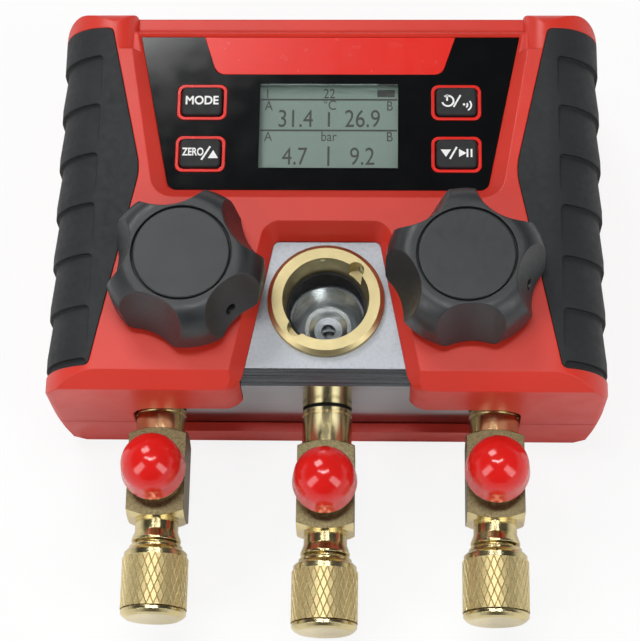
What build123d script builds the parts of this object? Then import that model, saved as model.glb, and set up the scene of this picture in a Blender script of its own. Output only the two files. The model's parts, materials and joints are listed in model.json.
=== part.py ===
from build123d import *
import math
import os

# Refrigerant manifold gauge, two valves and three ports, in millimetres.
# +X is right, +Y is towards the display end, +Z is out of the front face.
# The origin is on the flat back, midway across, BELOW_ORIGIN above the bottom end. The gauge lies on its back at Z = 0.
# An inset is measured inwards from the side of the housing, and a drop down from its front face.

# ---- housing -------------------------------------------------------------
HOUSING_W = 149.4
HOUSING_H = 108.9
HOUSING_D = 52.0
BELOW_ORIGIN = 54.2
HALF_W = HOUSING_W / 2
BOTTOM = -BELOW_ORIGIN
TOP = HOUSING_H - BELOW_ORIGIN
WALL = 2.6
PARTING_Z = 19.0
BACK_INSET = 6.1
CHINE_INSET = 2.9
CHINE_Z = 3.2
SIDE_Z = 27.4
FRONT_ROUND = 15.5
BOTTOM_BEVEL_Y = 4.1
BOTTOM_BEVEL_Z = 4.7
BOTTOM_DRAFT = 0.3
TOP_ROUND = 4.0
TOP_CORNER_R = 5.0
BOTTOM_CORNER_R = 2.6
TOP_SLOPE_Y = 5.7
TOP_SLOPE_DROP = 10.0
TOP_RIM_DROP = 2.5
EAR_CLEAR = 1.2
EAR_ROUND = 5.5
SEAM_GAP = 0.15
SEAM_GROOVE = 0.35

# ---- display panel and keys ----------------------------------------------
PANEL_TOP_GAP = 6.5
PANEL_TOP_Y = TOP - PANEL_TOP_GAP
PANEL_BOTTOM_Y = 2.1
PANEL_TOP_HALF_W = HALF_W - 22.4
PANEL_BOTTOM_HALF_W = HALF_W - 31.6
PANEL_R = 2.8
PANEL_DROP = 3.5
PANEL_Z = HOUSING_D - PANEL_DROP
PANEL_T = 1.5
PANEL_CLEAR = 0.12
PLATE_TOP_HALF_W = 34.6
PLATE_BOTTOM_HALF_W = 30.9
PLATE_H = 11.3
PLATE_R = 3.0
SCREEN_W = 37.8
SCREEN_H = 25.4
SCREEN_Y = 21.3
LCD_MARGIN = 1.6
LCD_SINK = 1.6
KEY_X = HALF_W - 39.95
KEY_Y = (28.2, 12.7)
KEY_W = 11.0
KEY_H = 8.4
KEY_R = 1.4
KEY_PROUD = 1.1
KEY_TRAVEL = 0.8
KEY_CLEAR = 0.2
KEY_FLANGE = 0.9
FRAME_W = 13.8
FRAME_H = 10.8
FRAME_LINE = 0.95
FRAME_R = 2.0
FRAME_PROUD = 0.15

# ---- rubber grips, flush with the housing ----------------------------------
GRIP_SINK = 2.2
GRIP_TOP_Y = TOP - 5.6
GRIP_TOP_RISE = 1.3
GRIP_BOTTOM_Y = -48.8
GRIP_TOP_X = HALF_W - 14.7
GRIP_WAIST_X = HALF_W - 24.1
GRIP_WAIST_Y = 6.9
GRIP_WAIST_R = 18.0
GRIP_BOTTOM_X = HALF_W - 12.9
GRIP_R = 1.8
RIB_COUNT = 7
RIB_TOP_Y = 41.1
RIB_PITCH = 14.65
RIB_RAMP = 11.5
RIB_DEPTH = 1.1
RIB_INNER_X = HALF_W - 12.4
RIB_R = 1.2

# ---- window and port slot in the housing ----------------------------------
WINDOW_TOP_Y = -12.1
WINDOW_TOP_HALF_W = 14.0
WINDOW_FLARE = 0.198
WINDOW_RUN = 3.3
WINDOW_DROP = 6.0
WINDOW_TOP_R = 1.6
POD_CORNER_R = 6.0

# ---- ports, shared by the block, the slot and the tees ----------------------
PORT_X = HALF_W - 29.3
PORT_Z = 20.0
SHANK_R = 6.75
SLOT_CLEAR = 0.35
SLOT_HALF_W = PORT_X + SHANK_R + SLOT_CLEAR
SLOT_Z0 = PORT_Z - 10.3
SLOT_Z1 = PORT_Z + 11.0
SLOT_R = 6.0

# ---- manifold block --------------------------------------------------------
BLOCK_HALF_W = HALF_W - 20.7
BLOCK_CLEAR = 0.3
BLOCK_Y0 = BOTTOM + WALL + BLOCK_CLEAR
BLOCK_Y1 = -8.0
BLOCK_Z0 = 9.0
BLOCK_Z1 = HOUSING_D - WINDOW_DROP
BLOCK_CHAMFER = 3.7
PORT_DRILL_R = 4.0
PORT_DRILL_END_Y = -22.0
CENTRE_DRILL_END_Y = -38.0
GALLERY_R = 2.0
INNER_GALLERY_Z = PORT_Z - 4.5
OUTER_GALLERY_Z = PORT_Z + 3.0
SENSOR_Y = -35.6
SENSOR_THREAD_R = 4.0
SENSOR_THREAD_L = 4.0
SENSOR_AF = 13.0
SENSOR_L = 12.0
PLUG_R = 3.2
PLUG_L = 6.0

# ---- valves -----------------------------------------------------------------
VALVE_X = HALF_W - 38.2
VALVE_Y = -24.8
VALVE_LIFT = 2.5
CHAMBER_R = 4.5
CHAMBER_Z = PORT_Z
SEAT_R = 1.75
SLIDE_FIT = 0.05
GLAND_R = 7.0
GLAND_Z0 = BLOCK_Z1 - 10.0
GLAND_HEX_AF = 17.0
GLAND_HEX_T = 3.2
GLAND_NECK_R = 5.4
GLAND_TOP_Z = BLOCK_Z1 + 7.2
GLAND_THREAD_R = 4.3
GLAND_THREAD_Z1 = BLOCK_Z1 - 4.0
PISTON_GAP = 1.5
PISTON_H = GLAND_Z0 - CHAMBER_Z - VALVE_LIFT - PISTON_GAP
SPINDLE_R = 3.0
SPINDLE_FOOT_R = 2.5
SPINDLE_FOOT_Z = CHAMBER_Z + PISTON_H - 3.9
SPINDLE_COLLAR_Z0 = GLAND_Z0 - 3.0
SPINDLE_COLLAR_Z1 = GLAND_Z0 + 3.0
SPINDLE_SEAL_R = 0.9

# ---- knobs -------------------------------------------------------------------
KNOB_CLEAR = 3.5
KNOB_Z0 = HOUSING_D + KNOB_CLEAR
KNOB_H = 15.5
KNOB_R = 20.8
KNOB_TOP_R = 14.2
KNOB_SHOULDER_H = 6.8
KNOB_LOBES = 5
KNOB_SCOOP_R = 15.0
KNOB_SCOOP_LEAN = 17.0
KNOB_HUB_R = 6.0
KNOB_HOLLOW_R = 14.0
KNOB_HOLLOW_H = 9.0
KNOB_ROOF = 1.4
KNOB_CAP_R = 12.5
KNOB_CAP_T = 1.4
KNOB_GROOVE = 0.45
KNOB_LOBE_ANGLE = {"left": 65.0, "right": 93.0}
SET_SCREW_R = 1.5
SET_SCREW_L = 4.0
SET_SCREW_H = 4.6

# ---- sight glass ---------------------------------------------------------------
GLASS_Y = -29.0
GLASS_RING_R = 15.5
GLASS_RING_T = 2.6
GLASS_THREAD_R = 13.4
GLASS_BORE_TOP_R = 11.5
GLASS_BORE_R = 10.8
GLASS_RING_Z0 = BLOCK_Z1 - 5.8
GLASS_SEAL_T = 7.2
GLASS_SEAL_R = 9.95
GLASS_T = 3.0
GLASS_R = 13.2
WELL_R = 9.7
WELL_FLOOR_Z = BLOCK_Z1 - 22.5
WELL_STEP_R = 6.4
WELL_STEP = 1.1
WELL_POINT = 2.6
SPANNER_R = 2.3
SPANNER_AT_R = 11.2
SPANNER_ANGLE = 46.0
SPANNER_DEPTH = 6.0

# ---- port tees and their caps ----------------------------------------------------
SHANK_L = 7.2
CENTRE_EXTRA = 3.2
SPIGOT_R = 5.4
SPIGOT_L = 10.0
PORT_SEAL_T = 0.5
TEE_W = 15.4
TEE_L = 24.2
TEE_CHAMFER = 1.6
TEE_BORE_R = 2.4
NECK_R = 5.8
NECK_L = 3.0
NECK_CONE_R = 6.6
NECK_CONE_L = 2.2
FLARE_R = 5.2
FLARE_END = 19.1
FLARE_NOSE_R = 3.6
ACCESS_FROM_TOP = 13.3
ACCESS_COLLAR_R = 7.2
ACCESS_COLLAR_T = 2.0
ACCESS_L = 15.0
CORE_R = 2.6
CAP_GAP = 6.8
CAP_L = 19.7
CAP_LIP_R = 7.1
CAP_LIP_L = 0.9
CAP_BAND_R = 8.45
CAP_BAND_START = 1.6
CAP_KNURL_R = 8.55
CAP_KNURL_START = 3.6
CAP_KNURL_END = 17.3
CAP_RIM_R = 8.75
CAP_END_R = 8.0
CAP_BORE_R = 5.75
CAP_SEAL_T = 2.0
CAP_SEAL_R = 5.6
DUST_R = 8.1
DUST_FLARE = 0.5
DUST_BORE_R = 5.75
DUST_SKIRT = 5.0
DUST_DOME = 7.6
DUST_START = 4.3

# ---- electronics and battery ---------------------------------------------------------
BOARD_DROP = 12.5
BOARD_Z = PANEL_Z - BOARD_DROP
BOARD_T = 1.6
BOARD_HALF_W = HALF_W - 26.7
BOARD_Y0 = -5.0
BOARD_Y1 = TOP - 8.7
SWITCH_W = 6.0
SWITCH_H = 3.4
SWITCH_STEM_R = 1.7
CELL_R = 7.25
CELL_L = 50.5
CELL_NUB_R = 2.7
CELL_NUB_L = 1.0
CONTACT_W = 10.0
CONTACT_T = 0.35
BAY_GAP = 0.5
BAY_Y = 10.5
BAY_WALL = 1.5
COVER_T = 2.5
COVER_LIP = 2.0
COVER_CLEAR = 0.25
COVER_SCREW_X = CELL_L + BAY_GAP + 5.6
COVER_SCREW_R = 1.4
COVER_HEAD_R = 2.3

# ---- hanging hook ---------------------------------------------------------------------
HOOK_Y = TOP - 5.2
HOOK_Z = 4.2
HOOK_T = 3.4
HOOK_BARREL_R = 2.8
HOOK_HALF_W = 12.0
HOOK_RING_R = 11.0
HOOK_RING_Y = TOP - 14.7
HOOK_BAR = 4.0
HOOK_TIP = 2.5
HOOK_PIN_R = 1.5
HOOK_PIN_REACH = 2.2
HOOK_CLEAR = 0.6
HOOK_WALL = 2.5

# ---- fasteners --------------------------------------------------------------------------
CASE_SCREW_X = HALF_W - 13.2
CASE_SCREW_AT = ((CASE_SCREW_X, 42.0), (-CASE_SCREW_X, 42.0), (CASE_SCREW_X, -14.0), (-CASE_SCREW_X, -14.0))
CASE_BOSS_R = 4.5
CASE_SCREW_R = 1.7
CASE_SCREW_TIP_Z = 28.0
BLOCK_SCREW_AT = ((24.0, -42.0), (-24.0, -42.0), (24.0, -14.0), (-24.0, -14.0))
BLOCK_SCREW_R = 2.0
BLOCK_SCREW_TIP_Z = 14.5
SCREW_HEAD_R = 3.2
SCREW_HEAD_T = 2.2
SCREW_HEAD_SINK = 1.0
SCREW_FIT = 0.05

FAR = 300.0
SIDES = {"left": -1, "right": 1}
PORTS = {"left": -PORT_X, "centre": 0.0, "right": PORT_X}


# ---- small helpers --------------------------------------------------------------------------
def block(x0, x1, y0, y1, z0, z1):
    return Pos((x0 + x1) / 2, (y0 + y1) / 2, (z0 + z1) / 2) * Box(x1 - x0, y1 - y0, z1 - z0)


def post(x, y, z0, z1, radius):
    return Pos(x, y, (z0 + z1) / 2) * Cylinder(radius, z1 - z0)


def rod_x(y, z, x0, x1, radius):
    return Pos((x0 + x1) / 2, y, z) * Rot(0, 90, 0) * Cylinder(radius, x1 - x0)


def rod_y(x, z, y0, y1, radius):
    return Pos(x, (y0 + y1) / 2, z) * Rot(90, 0, 0) * Cylinder(radius, y1 - y0)


def outline(points):
    return make_face(Polyline(*points, close=True))


def round_corners(face, radius, keep):
    """Fillets the corners of a flat face whose (x, y) pass the keep test."""
    return fillet([v for v in face.vertices() if keep(v.X, v.Y)], radius)


def along_x(face, x0, x1):
    return extrude(Plane.YZ.offset(x0) * face, x1 - x0)


def along_y(face, y0, y1):
    return extrude(Plane.XZ.offset(-y1) * face, y1 - y0)


def along_z(face, z0, z1):
    return extrude(Plane.XY.offset(z0) * face, z1 - z0)


def turned(points):
    """A solid of revolution about Z from (radius, height) points."""
    return revolve(Plane.XZ * outline(points), Axis.Z)


def turned_down_y(points, x, z, y):
    """The same, with heights running from y towards -Y at (x, z)."""
    return Pos(x, y, z) * Rot(90, 0, 0) * turned(points)


def ring(x, y, z, major, minor):
    return Pos(x, y, z) * Torus(major, minor)


def hex_prism(x, y, z0, z1, across_flats):
    face = RegularPolygon(across_flats / 2, 6, major_radius=False)
    return Pos(x, y, 0) * along_z(face, z0, z1)


# ---- housing -----------------------------------------------------------------------------------
def section_xz(inset):
    """The end view of the housing: a flat back, flared sides and large front rounds."""
    half = HALF_W - inset
    top = HOUSING_D - inset
    face = outline([
        (-half + BACK_INSET, inset), (half - BACK_INSET, inset), (half - CHINE_INSET, CHINE_Z + inset),
        (half, SIDE_Z), (half, top), (-half, top), (-half, SIDE_Z), (-half + CHINE_INSET, CHINE_Z + inset)])
    return round_corners(face, FRONT_ROUND - inset, lambda x, z: z > SIDE_Z + 1)


def section_yz(inset):
    """The side view: a drafted bottom, a bevelled lower front edge and a rounded top."""
    top = HOUSING_D - inset
    face = outline([
        (BOTTOM + BOTTOM_DRAFT + inset, inset), (BOTTOM + inset, PARTING_Z),
        (BOTTOM + inset, HOUSING_D - BOTTOM_BEVEL_Z - inset * 0.4), (BOTTOM + BOTTOM_BEVEL_Y + inset * 0.4, top),
        (TOP - inset, top), (TOP - inset, inset)])
    return round_corners(face, max(TOP_ROUND - inset, 0.5), lambda y, z: y > 0 and z > PARTING_Z)


def section_xy(inset):
    half = HALF_W - inset
    face = outline([(-half, BOTTOM + inset), (half, BOTTOM + inset), (half, TOP - inset), (-half, TOP - inset)])
    face = round_corners(face, max(TOP_CORNER_R - inset, 0.5), lambda x, y: y > 0)
    return round_corners(face, max(BOTTOM_CORNER_R - inset, 0.5), lambda x, y: y < 0)


def housing_form(inset):
    form = along_y(section_xz(inset), -FAR, FAR)
    form &= along_x(section_yz(inset), -FAR, FAR)
    form &= along_z(section_xy(inset), -FAR, FAR)
    return form


def panel_outline(grow):
    face = outline([
        (-PANEL_BOTTOM_HALF_W - grow, PANEL_BOTTOM_Y - grow), (PANEL_BOTTOM_HALF_W + grow, PANEL_BOTTOM_Y - grow),
        (PANEL_TOP_HALF_W + grow, PANEL_TOP_Y + grow), (-PANEL_TOP_HALF_W - grow, PANEL_TOP_Y + grow)])
    return round_corners(face, PANEL_R + max(grow, 0), lambda x, y: y < PANEL_TOP_Y - 5)


def panel_recess(wall):
    """The space of the sunk display panel, with 45 degree slopes up to the front face."""
    rise = PANEL_DROP + 1
    flare = loft([Plane.XY.offset(PANEL_Z) * panel_outline(wall),
                  Plane.XY.offset(PANEL_Z + rise) * panel_outline(wall + rise)], ruled=True)
    return flare + along_z(panel_outline(wall), PANEL_Z - PANEL_T - wall, PANEL_Z)


def top_slope(wall):
    """The slope behind the panel, between the two raised ends of the side rails."""
    y0 = TOP - TOP_SLOPE_Y
    z0 = HOUSING_D - TOP_RIM_DROP
    steep = (TOP_SLOPE_DROP - TOP_RIM_DROP) / TOP_SLOPE_Y
    over = 6.0
    side = outline([(y0, z0 - wall), (TOP + over, z0 - wall - steep * (TOP_SLOPE_Y + over)),
                    (TOP + over, HOUSING_D + over), (y0 - over, HOUSING_D + over), (y0 - over, z0 - wall)])
    low = PANEL_TOP_HALF_W + EAR_CLEAR + wall
    crest = HOUSING_D - wall
    gap = Rectangle(2 * low, HOUSING_D) + Pos(0, crest - EAR_ROUND + HOUSING_D / 2) * Rectangle(
        2 * (low + EAR_ROUND), HOUSING_D)
    for x in (-low - EAR_ROUND, low + EAR_ROUND):
        gap -= Pos(x, crest - EAR_ROUND) * Circle(EAR_ROUND)
    low_cut = Pos(0, PARTING_Z / 2) * Rectangle(FAR, PARTING_Z)
    return along_x(side, -FAR, FAR) & along_y(gap - low_cut, 0, FAR)


def window_outline(grow):
    """The opening over the manifold block: tapered, with rounded pod corners where it meets the bottom."""
    def half_at(y):
        return WINDOW_TOP_HALF_W + grow + (WINDOW_TOP_Y - y) * WINDOW_FLARE
    wide = SLOT_HALF_W + 20
    top = WINDOW_TOP_Y + grow * 1.2
    face = outline([(-half_at(top), top), (half_at(top), top), (half_at(BOTTOM), BOTTOM), (wide, BOTTOM),
                    (wide, BOTTOM - 20), (-wide, BOTTOM - 20), (-wide, BOTTOM), (-half_at(BOTTOM), BOTTOM)])
    face = round_corners(face, WINDOW_TOP_R + grow, lambda x, y: y > BOTTOM + 5)
    return round_corners(face, POD_CORNER_R, lambda x, y: abs(y - BOTTOM) < 0.1 and abs(x) < SLOT_HALF_W)


def window_space(wall):
    over = 1.0
    rise = HOUSING_D - BLOCK_Z1 + over
    run = WINDOW_RUN * rise / (HOUSING_D - BLOCK_Z1)
    flare = loft([Plane.XY.offset(BLOCK_Z1) * window_outline(wall),
                  Plane.XY.offset(BLOCK_Z1 + rise) * window_outline(wall + run)], ruled=True)
    return flare + along_z(window_outline(wall), (SLOT_Z0 + SLOT_Z1) / 2, BLOCK_Z1)


def port_slot():
    """The slot in the bottom wall that the port shanks pass through."""
    face = outline([(-SLOT_HALF_W, SLOT_Z0), (SLOT_HALF_W, SLOT_Z0), (SLOT_HALF_W, SLOT_Z1),
                    (-SLOT_HALF_W, SLOT_Z1)])
    face = round_corners(face, SLOT_R, lambda x, z: True)
    return along_y(face, BOTTOM - 5, BOTTOM + WALL + 3)


def grip_zone(side, grow, z0=PARTING_Z + SEAM_GAP):
    """The plan outline of one grip, as a prism that is cut or filled through the housing skin."""
    far = HALF_W + 20
    rise = GRIP_TOP_RISE * (far - GRIP_TOP_X) / (HALF_W - GRIP_TOP_X)
    face = outline([(side * (GRIP_TOP_X - grow), GRIP_TOP_Y + grow), (side * far, GRIP_TOP_Y + rise + grow),
                    (side * far, GRIP_BOTTOM_Y - grow), (side * (GRIP_BOTTOM_X - grow), GRIP_BOTTOM_Y - grow),
                    (side * (GRIP_WAIST_X - grow), GRIP_WAIST_Y)])
    face = round_corners(face, GRIP_WAIST_R, lambda x, y: abs(y - GRIP_WAIST_Y) < 1)
    face = round_corners(face, GRIP_R, lambda x, y: abs(x) < far - 1 and abs(y - GRIP_WAIST_Y) > 15)
    return along_z(face, z0, HOUSING_D + 10)


def rib_wedge():
    """What one rib step takes off the grip: full depth at its upper edge, running out below."""
    full = Plane.XZ.offset(RIB_RAMP) * section_xz(0)
    stepped = Plane.XZ * section_xz(RIB_DEPTH)
    kept = loft([stepped, full], ruled=True)
    reach = HALF_W + 10
    zone = None
    for side in SIDES.values():
        x0, x1 = sorted((side * RIB_INNER_X, side * reach))
        face = outline([(x0, -RIB_RAMP), (x1, -RIB_RAMP), (x1, 0), (x0, 0)])
        face = round_corners(face, RIB_R, lambda x, y: abs(x) < reach - 1 and y > -1)
        prism = along_z(face, PARTING_Z - 5, HOUSING_D + 10)
        zone = prism if zone is None else zone + prism
    return zone - kept


def make_grips():
    skin = housing_form(0) - housing_form(GRIP_SINK)
    wedge = rib_wedge()
    for i in range(RIB_COUNT):
        skin -= Pos(0, RIB_TOP_Y - i * RIB_PITCH, 0) * wedge
    return {name: skin & grip_zone(side, 0) for name, side in SIDES.items()}


def key_places():
    return [(side * KEY_X, y, f"button_{row}_{name}")
            for name, side in SIDES.items() for row, y in zip(("upper", "lower"), KEY_Y)]


def rounded_rect(w, h, r):
    return RectangleRounded(w, h, r)


def make_shell():
    """Both housing halves as one shell, before it is split at the parting plane."""
    inner = housing_form(WALL) - panel_recess(WALL) - top_slope(WALL)
    inner -= window_space(WALL) & block(-FAR, FAR, -FAR, FAR, BLOCK_Z1 + SEAM_GAP, FAR)
    shell = housing_form(0) - panel_recess(0) - top_slope(0) - inner
    shell -= window_space(0)
    shell -= port_slot()
    return shell


def hook_pocket(wall):
    x = HOOK_HALF_W + HOOK_CLEAR + wall
    y0 = HOOK_RING_Y - HOOK_RING_R - HOOK_CLEAR - wall
    return block(-x, x, y0, TOP + 5, -1, HOOK_Z + HOOK_BARREL_R + HOOK_CLEAR + wall)


def bay_size():
    half_w = CELL_L + BAY_GAP
    half_h = 2 * CELL_R + BAY_GAP
    return half_w, half_h


def make_rear_housing(shell):
    rear = shell & block(-FAR, FAR, -FAR, FAR, -1, PARTING_Z)
    inside = housing_form(0)
    groove = inside - housing_form(SEAM_GROOVE)
    rear -= groove & block(-FAR, FAR, -FAR, FAR, PARTING_Z - SEAM_GROOVE, PARTING_Z)
    half_w, half_h = bay_size()
    roof_z = COVER_T + 2 * CELL_R + 2 * BAY_GAP
    # battery bay: a tray open to the back, with a ledge for its cover
    rear += block(-half_w - BAY_WALL, half_w + BAY_WALL, BAY_Y - half_h - BAY_WALL, BAY_Y + half_h + BAY_WALL,
                  0, roof_z + BAY_WALL)
    rear += block(-COVER_SCREW_X - 4, COVER_SCREW_X + 4, BAY_Y - half_h - COVER_LIP - WALL,
                  BAY_Y + half_h + COVER_LIP + WALL, 0, COVER_T + WALL)
    rear -= block(-half_w, half_w, BAY_Y - half_h, BAY_Y + half_h, -1, roof_z)
    # walls round the hook pocket, which is open to the back and to the top edge
    rear += hook_pocket(HOOK_WALL) & inside
    rear -= hook_pocket(0)
    pin_end = HOOK_HALF_W + HOOK_PIN_REACH
    rear -= rod_x(HOOK_Y, HOOK_Z, -pin_end, pin_end, HOOK_PIN_R + SCREW_FIT)
    rear -= cover_space(COVER_CLEAR)
    for x, y in CASE_SCREW_AT:
        rear += post(x, y, WALL / 2, PARTING_Z - SEAM_GAP, CASE_BOSS_R)
        rear -= post(x, y, -1, PARTING_Z + 1, CASE_SCREW_R + SCREW_FIT)
        rear -= post(x, y, -1, SCREW_HEAD_SINK + SCREW_HEAD_T, SCREW_HEAD_R + 0.2)
    for x, y in BLOCK_SCREW_AT:
        rear += post(x, y, WALL / 2, BLOCK_Z0, CASE_BOSS_R)
        rear -= post(x, y, -1, BLOCK_Z0 + 1, BLOCK_SCREW_R + SCREW_FIT)
        rear -= post(x, y, -1, SCREW_HEAD_SINK + SCREW_HEAD_T, SCREW_HEAD_R + 0.2)
    for side in SIDES.values():
        rear -= post(side * COVER_SCREW_X, BAY_Y, -1, COVER_T + WALL - 0.8, COVER_SCREW_R + SCREW_FIT)
    return rear


def make_front_housing(shell):
    front = shell & block(-FAR, FAR, -FAR, FAR, PARTING_Z, FAR)
    for x, y in CASE_SCREW_AT:
        front += post(x, y, PARTING_Z, HOUSING_D - WALL, CASE_BOSS_R) & housing_form(WALL / 2)
        front -= post(x, y, PARTING_Z - 1, CASE_SCREW_TIP_Z + 1, CASE_SCREW_R + SCREW_FIT)
    # the wall steps inwards behind the grips and keeps its thickness
    lining = housing_form(GRIP_SINK / 2) - housing_form(GRIP_SINK + WALL)
    front += lining & (grip_zone(-1, WALL, PARTING_Z) + grip_zone(1, WALL, PARTING_Z))
    skin = housing_form(-1) - housing_form(GRIP_SINK)
    for side in SIDES.values():
        front -= skin & grip_zone(side, SEAM_GAP)
        front -= post(side * VALVE_X, VALVE_Y, BLOCK_Z1, HOUSING_D + 1, GLAND_NECK_R + 0.6)
    lcd_w, lcd_h = SCREEN_W + 2 * LCD_MARGIN, SCREEN_H + 2 * LCD_MARGIN
    front -= block(-lcd_w / 2 - 0.2, lcd_w / 2 + 0.2, SCREEN_Y - lcd_h / 2 - 0.2, SCREEN_Y + lcd_h / 2 + 0.2,
                   BOARD_Z, PANEL_Z)
    for x, y, _ in key_places():
        hole = rounded_rect(KEY_W + 2 * KEY_CLEAR, KEY_H + 2 * KEY_CLEAR, KEY_R)
        front -= Pos(x, y, 0) * along_z(hole, BOARD_Z, PANEL_Z)
    return front


# ---- display -------------------------------------------------------------------------------------
def plate_outline(grow):
    y1 = PANEL_TOP_Y - PANEL_CLEAR
    y0 = y1 - PLATE_H
    face = outline([(-PLATE_BOTTOM_HALF_W - grow, y0 - grow), (PLATE_BOTTOM_HALF_W + grow, y0 - grow),
                    (PLATE_TOP_HALF_W + grow, y1 + grow), (-PLATE_TOP_HALF_W - grow, y1 + grow)])
    return round_corners(face, PLATE_R, lambda x, y: y < y0 + 1)


def make_display():
    z0, z1 = PANEL_Z - PANEL_T, PANEL_Z
    panel = along_z(panel_outline(-PANEL_CLEAR), z0, z1)
    panel -= along_z(plate_outline(SEAM_GAP), z0 - 1, z1 + 1)
    panel -= block(-SCREEN_W / 2, SCREEN_W / 2, SCREEN_Y - SCREEN_H / 2, SCREEN_Y + SCREEN_H / 2, z0 - 1, z1 + 1)
    frames = []
    for x, y, _ in key_places():
        panel -= Pos(x, y, 0) * along_z(rounded_rect(FRAME_W, FRAME_H, FRAME_R), z0 - 1, z1 + 1)
        frame = rounded_rect(FRAME_W - 2 * SEAM_GAP, FRAME_H - 2 * SEAM_GAP, FRAME_R)
        frame -= rounded_rect(FRAME_W - 2 * FRAME_LINE, FRAME_H - 2 * FRAME_LINE, FRAME_R - FRAME_LINE / 2)
        frames.append(Pos(x, y, 0) * along_z(frame, z0, z1 + FRAME_PROUD))
    gap = PANEL_CLEAR
    window = block(-SCREEN_W / 2 + gap, SCREEN_W / 2 - gap, SCREEN_Y - SCREEN_H / 2 + gap,
                   SCREEN_Y + SCREEN_H / 2 - gap, z0, z1)
    lcd = block(-SCREEN_W / 2 - LCD_MARGIN, SCREEN_W / 2 + LCD_MARGIN, SCREEN_Y - SCREEN_H / 2 - LCD_MARGIN,
                SCREEN_Y + SCREEN_H / 2 + LCD_MARGIN, BOARD_Z + BOARD_T, z0 - LCD_SINK)
    return {"display_panel": panel, "header_plate": along_z(plate_outline(0), z0, z1),
            "button_frames": Compound(frames), "display_window": window, "lcd_module": lcd}


def key_foot_z():
    return PANEL_Z - PANEL_T - WALL - 1.5


def make_keys():
    keys = {}
    for x, y, name in key_places():
        key = along_z(rounded_rect(KEY_W, KEY_H, KEY_R), key_foot_z(), PANEL_Z + KEY_PROUD)
        top = key.faces().sort_by(Axis.Z)[-1]
        key = fillet(top.edges(), 0.6)
        flange = rounded_rect(KEY_W + 2 * KEY_FLANGE, KEY_H + 2 * KEY_FLANGE, KEY_R)
        key += along_z(flange, key_foot_z(), key_foot_z() + 1.0)
        keys[name] = Pos(x, y, 0) * key
    return keys


def make_electronics():
    board = block(-BOARD_HALF_W, BOARD_HALF_W, BOARD_Y0, BOARD_Y1, BOARD_Z, BOARD_Z + BOARD_T)
    board_top = BOARD_Z + BOARD_T
    switches = []
    for x, y, _ in key_places():
        body = Pos(x, y, board_top + SWITCH_H / 2) * Box(SWITCH_W, SWITCH_W, SWITCH_H)
        stem_z = key_foot_z() - KEY_TRAVEL - 0.2
        switches.append(body + post(x, y, board_top + SWITCH_H, stem_z, SWITCH_STEM_R))
    half_w, half_h = bay_size()
    cells, contacts = [], []
    cell_z = COVER_T + BAY_GAP + CELL_R
    for sx in (-1, 1):
        for sy in (-1, 1):
            y = BAY_Y + sy * (CELL_R + BAY_GAP / 4)
            x0, x1 = sorted((sx * BAY_GAP, sx * (half_w - BAY_GAP)))
            cell = rod_x(y, cell_z, x0, x1 - CELL_NUB_L, CELL_R) + rod_x(y, cell_z, x1 - CELL_NUB_L, x1, CELL_NUB_R)
            cells.append(cell)
            end = sx * half_w
            c0, c1 = sorted((end, end - sx * CONTACT_T))
            contacts.append(block(c0, c1, y - CONTACT_W / 2, y + CONTACT_W / 2, cell_z - CONTACT_W / 2,
                                  cell_z + CONTACT_W / 2))
    return {"circuit_board": board, "key_switches": Compound(switches), "battery_cells": Compound(cells),
            "battery_contacts": Compound(contacts)}


def cover_space(grow):
    half_w, half_h = bay_size()
    return block(-COVER_SCREW_X - 3 - grow, COVER_SCREW_X + 3 + grow, BAY_Y - half_h - COVER_LIP - grow,
                 BAY_Y + half_h + COVER_LIP + grow, -1, COVER_T)


def make_battery_cover():
    cover = cover_space(0) & block(-FAR, FAR, -FAR, FAR, 0, FAR)
    for side in SIDES.values():
        cover -= post(side * COVER_SCREW_X, BAY_Y, -1, COVER_T + 1, COVER_SCREW_R + SCREW_FIT)
        cover -= post(side * COVER_SCREW_X, BAY_Y, -1, COVER_T / 2, COVER_HEAD_R + 0.1)
    grip_y = BAY_Y + bay_size()[1] - 4
    for i in range(5):
        cover -= block(-12, 12, grip_y - i * 2.4, grip_y - i * 2.4 + 1.0, -1, 0.5)
    return cover


def make_screw(x, y, head_z, head_r, head_t, shaft_r, tip_z):
    screw = post(x, y, head_z, head_z + head_t, head_r) + post(x, y, head_z + head_t, tip_z, shaft_r)
    slot = Pos(x, y, head_z) * (Box(head_r, 0.7, 1.6) + Box(0.7, head_r, 1.6))
    return screw - slot


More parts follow.
